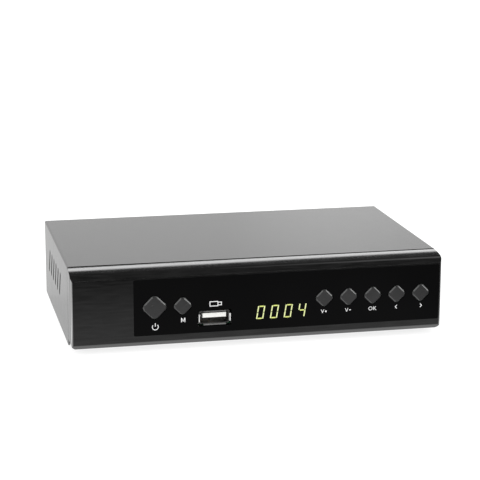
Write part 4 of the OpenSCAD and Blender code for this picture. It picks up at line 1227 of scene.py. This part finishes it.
@dataclass
class KeySigns:
    """The signs printed on the window under the keys, and one over the stick socket.

    A sign's place is measured from the middle of its key or socket, and its shape from its own middle.
    """

    stroke: float = 0.31
    thick: float = 0.02
    capital: float = 1.74
    power: Point2 = (0.2, -8.45)
    power_r: float = 1.25
    power_ring: Point2 = (140.0, 400.0)
    power_foot: float = 0.2
    power_rise: float = 0.40
    menu: Point2 = (0.2, -6.1)
    menu_half: Point2 = (0.88, 0.95)
    menu_stem: float = 0.33
    menu_peak: float = 0.26
    menu_fork: float = 0.29
    menu_dip: Point2 = (-0.80, -0.28)
    louder: Point2 = (-0.1, -5.9)
    quieter: Point2 = (-0.15, -5.9)
    volume_letter: float = -0.62
    volume_mark: Point2 = (0.86, -0.05)
    volume_arm: float = 0.42
    choose: Point2 = (0.0, -5.85)
    back: Point2 = (-0.15, -5.75)
    onward: Point2 = (0.3, -5.75)
    chevron_tail: Point2 = (-0.34, 0.76)
    chevron_tip: float = 0.36
    stick: Point2 = (0.3, 6.1)
    stick_stroke: float = 0.32
    stick_case: tuple[Point2, Point2] = ((-2.4, -0.95), (1.0, 0.95))
    stick_plug: Point2 = (2.5, 0.6)

    def build(self, face_y: float, paint: bpy.types.Material) -> None:
        """Makes the signs as one piece.

        Args:
            face_y: Depth of the window's face, in metres.
            paint: Their finish.
        """
        stencil = Stencil(face_y, self.thick * MM)
        self.draw_power(stencil, beside("power_key", self.power))
        self.draw_menu(stencil, beside("menu_key", self.menu))
        stencil.letters("OK", beside("ok_key", self.choose), self.capital * MM)
        self.draw_volume(stencil, beside("volume_up_key", self.louder), True)
        self.draw_volume(stencil, beside("volume_down_key", self.quieter), False)
        self.draw_chevron(stencil, beside("previous_key", self.back), -1.0)
        self.draw_chevron(stencil, beside("next_key", self.onward), 1.0)
        self.draw_stick(stencil, beside("stick_socket_shell", self.stick))
        piece = finished("key_signs", stencil.mesh("key_signs"), paint)
        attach(piece, "housing")
        LOG.info("%s: signs printed on the window", piece.name)

    def draw_power(self, stencil: Stencil, middle: Point2) -> None:
        """Draws an open ring with a stroke through its gap.

        Args:
            stencil: Where it is drawn.
            middle: Its middle, in metres.
        """
        stencil.arc(middle, self.power_r * MM, *self.power_ring, self.stroke * MM)
        ends = (self.power_foot, self.power_r + self.power_rise)
        stencil.strip([near(middle, 0.0, z) for z in ends], self.stroke * MM)

    def draw_menu(self, stencil: Stencil, middle: Point2) -> None:
        """Draws a block letter M, as one outline from its right foot round.

        Args:
            stencil: Where it is drawn.
            middle: Its middle, in metres.
        """
        wide, tall = self.menu_half
        low_dip, high_dip = self.menu_dip
        stem = wide - self.menu_stem
        outside = [(wide, -tall), (wide, tall), (wide - self.menu_peak, tall)]
        inside = [(stem, self.menu_fork), (stem, -tall)]
        left = [[(-x, z) for x, z in reversed(side)] for side in (outside, inside)]
        outline = [*outside, (0.0, high_dip), *left[0], *left[1], (0.0, low_dip), *inside]
        stencil.polygon([near(middle, x, z) for x, z in outline])

    def draw_volume(self, stencil: Stencil, middle: Point2, plus: bool) -> None:
        """Draws a letter V with a plus or a minus, each as one outline.

        Args:
            stencil: Where it is drawn.
            middle: Its middle, in metres.
            plus: Whether it is a plus.
        """
        stencil.letters("V", near(middle, self.volume_letter, 0.0), self.capital * MM)
        mark, arm, half = near(middle, *self.volume_mark), self.volume_arm, self.stroke / 2
        if not plus:
            stencil.strip([near(mark, -arm, 0.0), near(mark, arm, 0.0)], self.stroke * MM)
            return
        quarter = [(arm, -half), (arm, half), (half, half)]
        outline = []
        for _ in range(4):
            outline += quarter
            quarter = [(-z, x) for x, z in quarter]
        stencil.polygon([near(mark, x, z) for x, z in outline])

    def draw_chevron(self, stencil: Stencil, middle: Point2, side: float) -> None:
        """Draws a chevron.

        Args:
            stencil: Where it is drawn.
            middle: Its middle, in metres.
            side: 1 for one that points right, -1 for one that points left.
        """
        x, z = self.chevron_tail
        path = [(x, z), (self.chevron_tip, 0.0), (x, -z)]
        stencil.strip([near(middle, side * right, up) for right, up in path], self.stroke * MM)

    def draw_stick(self, stencil: Stencil, middle: Point2) -> None:
        """Draws a plain storage stick: a case with its plug.

        Args:
            stencil: Where it is drawn.
            middle: Its middle, in metres.
        """
        low, high = self.stick_case
        stencil.frame(near(middle, *low), near(middle, *high), self.stick_stroke * MM)
        root = high[0] + self.stick_stroke / 2
        tip, half = self.stick_plug
        plug = [(root, -half), (tip, -half), (tip, half), (root, half)]
        stencil.strip([near(middle, x, z) for x, z in plug], self.stick_stroke * MM)


@dataclass
class PlugContacts:
    """The spring blades in the slots of the picture and sound socket."""

    pitch: float = 3.6
    count: int = 10
    rise: float = 9.0
    row_half: float = 2.6
    row_shift: float = 1.8
    back: float = 1.4
    blade: Point3 = (0.5, 5.6, 3.2)

    def build(self, paint: bpy.types.Material) -> None:
        """Makes the blades of both rows as one piece.

        Args:
            paint: Their finish.
        """
        low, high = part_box("av_socket")
        middle, front = (low.x + high.x) / 2, high.y
        points = []
        for row, shift in ((1, 0.0), (-1, -self.row_shift)):
            for i in range(self.count):
                x = middle + ((i - (self.count - 1) / 2) * self.pitch + shift) * MM
                z = low.z + (self.rise + row * self.row_half) * MM
                points.append(Vector((x, front - (self.back + self.blade[1] / 2) * MM, z)))
        field = FieldTree("plug_contacts_field")
        blade = field.add("GeometryNodeMeshCube")
        field.join(field.take("Blade", "NodeSocketVector"), blade.inputs["Size"])
        field.scatter(blade.outputs["Mesh"], Side.UP, 0.0)
        piece = field.run("av_contacts", points, Blade=tuple(b * MM for b in self.blade), Finish=paint)
        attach(piece, "housing")
        LOG.info("%s: %d blades", piece.name, len(points))


@dataclass(frozen=True)
class StripLamp:
    """A long lamp behind the box, as the gloss mirrors it, between two heights of the room."""

    lower: Point2
    upper: Point2
    lean: float
    level: float
    least_back: float = 0.05

    def mirrored(self, net: NodeNet, towards: Socket) -> Socket:
        """How bright the room is towards the lamp.

        Args:
            net: The room's nodes.
            towards: The direction looked in.

        Returns:
            A value socket.
        """
        sides = net.parts(towards)
        height = net.math("DIVIDE", sides["Z"], net.math("MAXIMUM", sides["Y"], self.least_back))
        height = net.math("ADD", height, net.math("MULTIPLY", sides["X"], self.lean))
        rise = net.ramp(height, self.lower, (0.0, self.level))
        return net.math("MULTIPLY", rise, net.ramp(height, self.upper, (1.0, 0.0)))


@dataclass(frozen=True)
class SoftLamp:
    """A round soft lamp, as the gloss mirrors it.

    Its place is the way towards it from the box, and its edge fades between two cosines off that way.
    """

    place: Point3
    edge: Point2
    level: float

    def mirrored(self, net: NodeNet, towards: Socket) -> Socket:
        """How bright the room is towards the lamp.

        Args:
            net: The room's nodes.
            towards: The direction looked in.

        Returns:
            A value socket.
        """
        node = net.add("ShaderNodeVectorMath", operation="DOT_PRODUCT")
        net.join(towards, node.inputs[0])
        node.inputs[1].default_value = Vector(self.place).normalized()
        return net.ramp(node.outputs["Value"], self.edge, (0.0, self.level))


@dataclass
class Studio:
    """Floor, surroundings and camera.

    The camera's angles are in degrees and the floor's side is in metres.
    """

    camera_at: Point3 = (-153.1, -701.8, 205.04)
    azimuth: float = -12.54
    elevation: float = 13.454
    roll: float = 0.173
    lens: float = 123.28
    sensor: float = 36.0
    nearest: float = 0.01
    floor_side: float = 6.0
    room: float = 1.45
    wall: float = 1.05
    wall_top: Point2 = (0.33, 0.37)
    dark: float = 0.12
    dark_front: Point2 = (-0.35, -0.15)
    lamps: tuple[StripLamp | SoftLamp, ...] = (
        StripLamp((0.55, 0.58), (0.68, 0.73), 0.28, 4.0),
        SoftLamp((0.55, 0.05, 0.83), (0.92, 0.985), 1.7),
        SoftLamp((0.917, 0.0, 0.399), (0.955, 0.985), 6.0),
        SoftLamp((-0.68, -0.31, 0.665), (0.94, 0.98), 2.6),
        SoftLamp((0.27, 0.94, 0.20), (0.9975, 1.0), 0.24),
    )

    def floor(self, paint: bpy.types.Material) -> None:
        """Lays a plain pale floor under the box.

        Args:
            paint: Its finish.
        """
        half = self.floor_side / 2
        corners = [(-half, -half, 0.0), (half, -half, 0.0), (half, half, 0.0), (-half, half, 0.0)]
        mesh = bpy.data.meshes.new("floor")
        mesh.from_pydata(corners, [], [(0, 1, 2, 3)])
        finished("floor", mesh, paint)

    def surroundings(self) -> None:
        """A white room for soft light, and the lamps and dark front that the gloss mirrors."""
        world = bpy.data.worlds.new("studio")
        bpy.context.scene.world = world
        world.use_nodes = True
        net = NodeNet(world.node_tree)
        towards = net.add("ShaderNodeTexCoord").outputs["Generated"]
        sides = net.parts(towards)
        level = net.ramp(sides["Z"], self.wall_top, (self.wall, self.dark))
        behind = net.ramp(sides["Y"], self.dark_front, (0.0, 1.0))
        level = net.either(behind, self.dark, level)
        for lamp in self.lamps:
            level = net.math("ADD", level, lamp.mirrored(net, towards))
        mirrored = net.add("ShaderNodeBackground")
        net.join(level, mirrored.inputs["Strength"])
        plain = net.add("ShaderNodeBackground")
        plain.inputs["Color"].default_value = mirrored.inputs["Color"].default_value = (1.0, 1.0, 1.0, 1.0)
        plain.inputs["Strength"].default_value = self.room
        mix, output = net.add("ShaderNodeMixShader"), net.add("ShaderNodeOutputWorld")
        net.join(net.add("ShaderNodeLightPath").outputs["Is Glossy Ray"], mix.inputs["Fac"])
        net.join(plain.outputs["Background"], mix.inputs[1])
        net.join(mirrored.outputs["Background"], mix.inputs[2])
        net.join(mix.outputs["Shader"], output.inputs["Surface"])
        bpy.context.scene.view_settings.view_transform = "Standard"

    def camera(self) -> None:
        """Sets the camera at the photograph's angle."""
        az, el, roll = (math.radians(a) for a in (self.azimuth, self.elevation, self.roll))
        back = Vector((math.sin(az) * math.cos(el), -math.cos(az) * math.cos(el), math.sin(el)))
        right = Vector((math.cos(az), math.sin(az), 0.0))
        up = back.cross(right)
        across = right * math.cos(roll) + up * math.sin(roll)
        above = up * math.cos(roll) - right * math.sin(roll)
        data = bpy.data.cameras.new("camera")
        data.lens = self.lens
        data.sensor_width = self.sensor
        data.clip_start = self.nearest
        camera = bpy.data.objects.new("camera", data)
        bpy.context.scene.collection.objects.link(camera)
        turn = Matrix((across, above, back)).transposed().to_4x4()
        camera.matrix_world = Matrix.Translation(Vector(self.camera_at) * MM) @ turn
        bpy.context.scene.camera = camera


def main() -> None:
    """Builds the scene in order."""
    logging.basicConfig(level=logging.INFO, format="%(name)s: %(message)s")
    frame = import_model()
    nodes = frame["nodes"]
    studio = Studio()
    studio.camera()
    studio.surroundings()
    extra = (BLACK_SCREW, SIGN_INK, UPRIGHT_LIGHT, BAR_LIGHT, FLOOR_PALE)
    paints = {finish: finish.paint() for finish in (*NODE_FINISHES, *extra)}
    studio.floor(paints[FLOOR_PALE])
    Housing(nodes).dress(paints)
    face_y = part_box("display_window")[0].y
    display = Display()
    display.build(face_y, Strokes.UPRIGHTS, paints[UPRIGHT_LIGHT])
    display.build(face_y, Strokes.BARS, paints[BAR_LIGHT])
    KeySigns().build(face_y, paints[SIGN_INK])
    screws = Screws(nodes)
    screws.build("cover_screws", "black_screws", Side.REAR, paints[BLACK_SCREW])
    screws.build("board_screws", "bright_screws", Side.UP, paints[BRIGHT_STEEL])
    screws.build("front_board_screws", "bright_screws", Side.REAR, paints[BRIGHT_STEEL])
    PlugContacts().build(paints[CONTACT_GOLD])


if __name__ == "__main__":
    main()
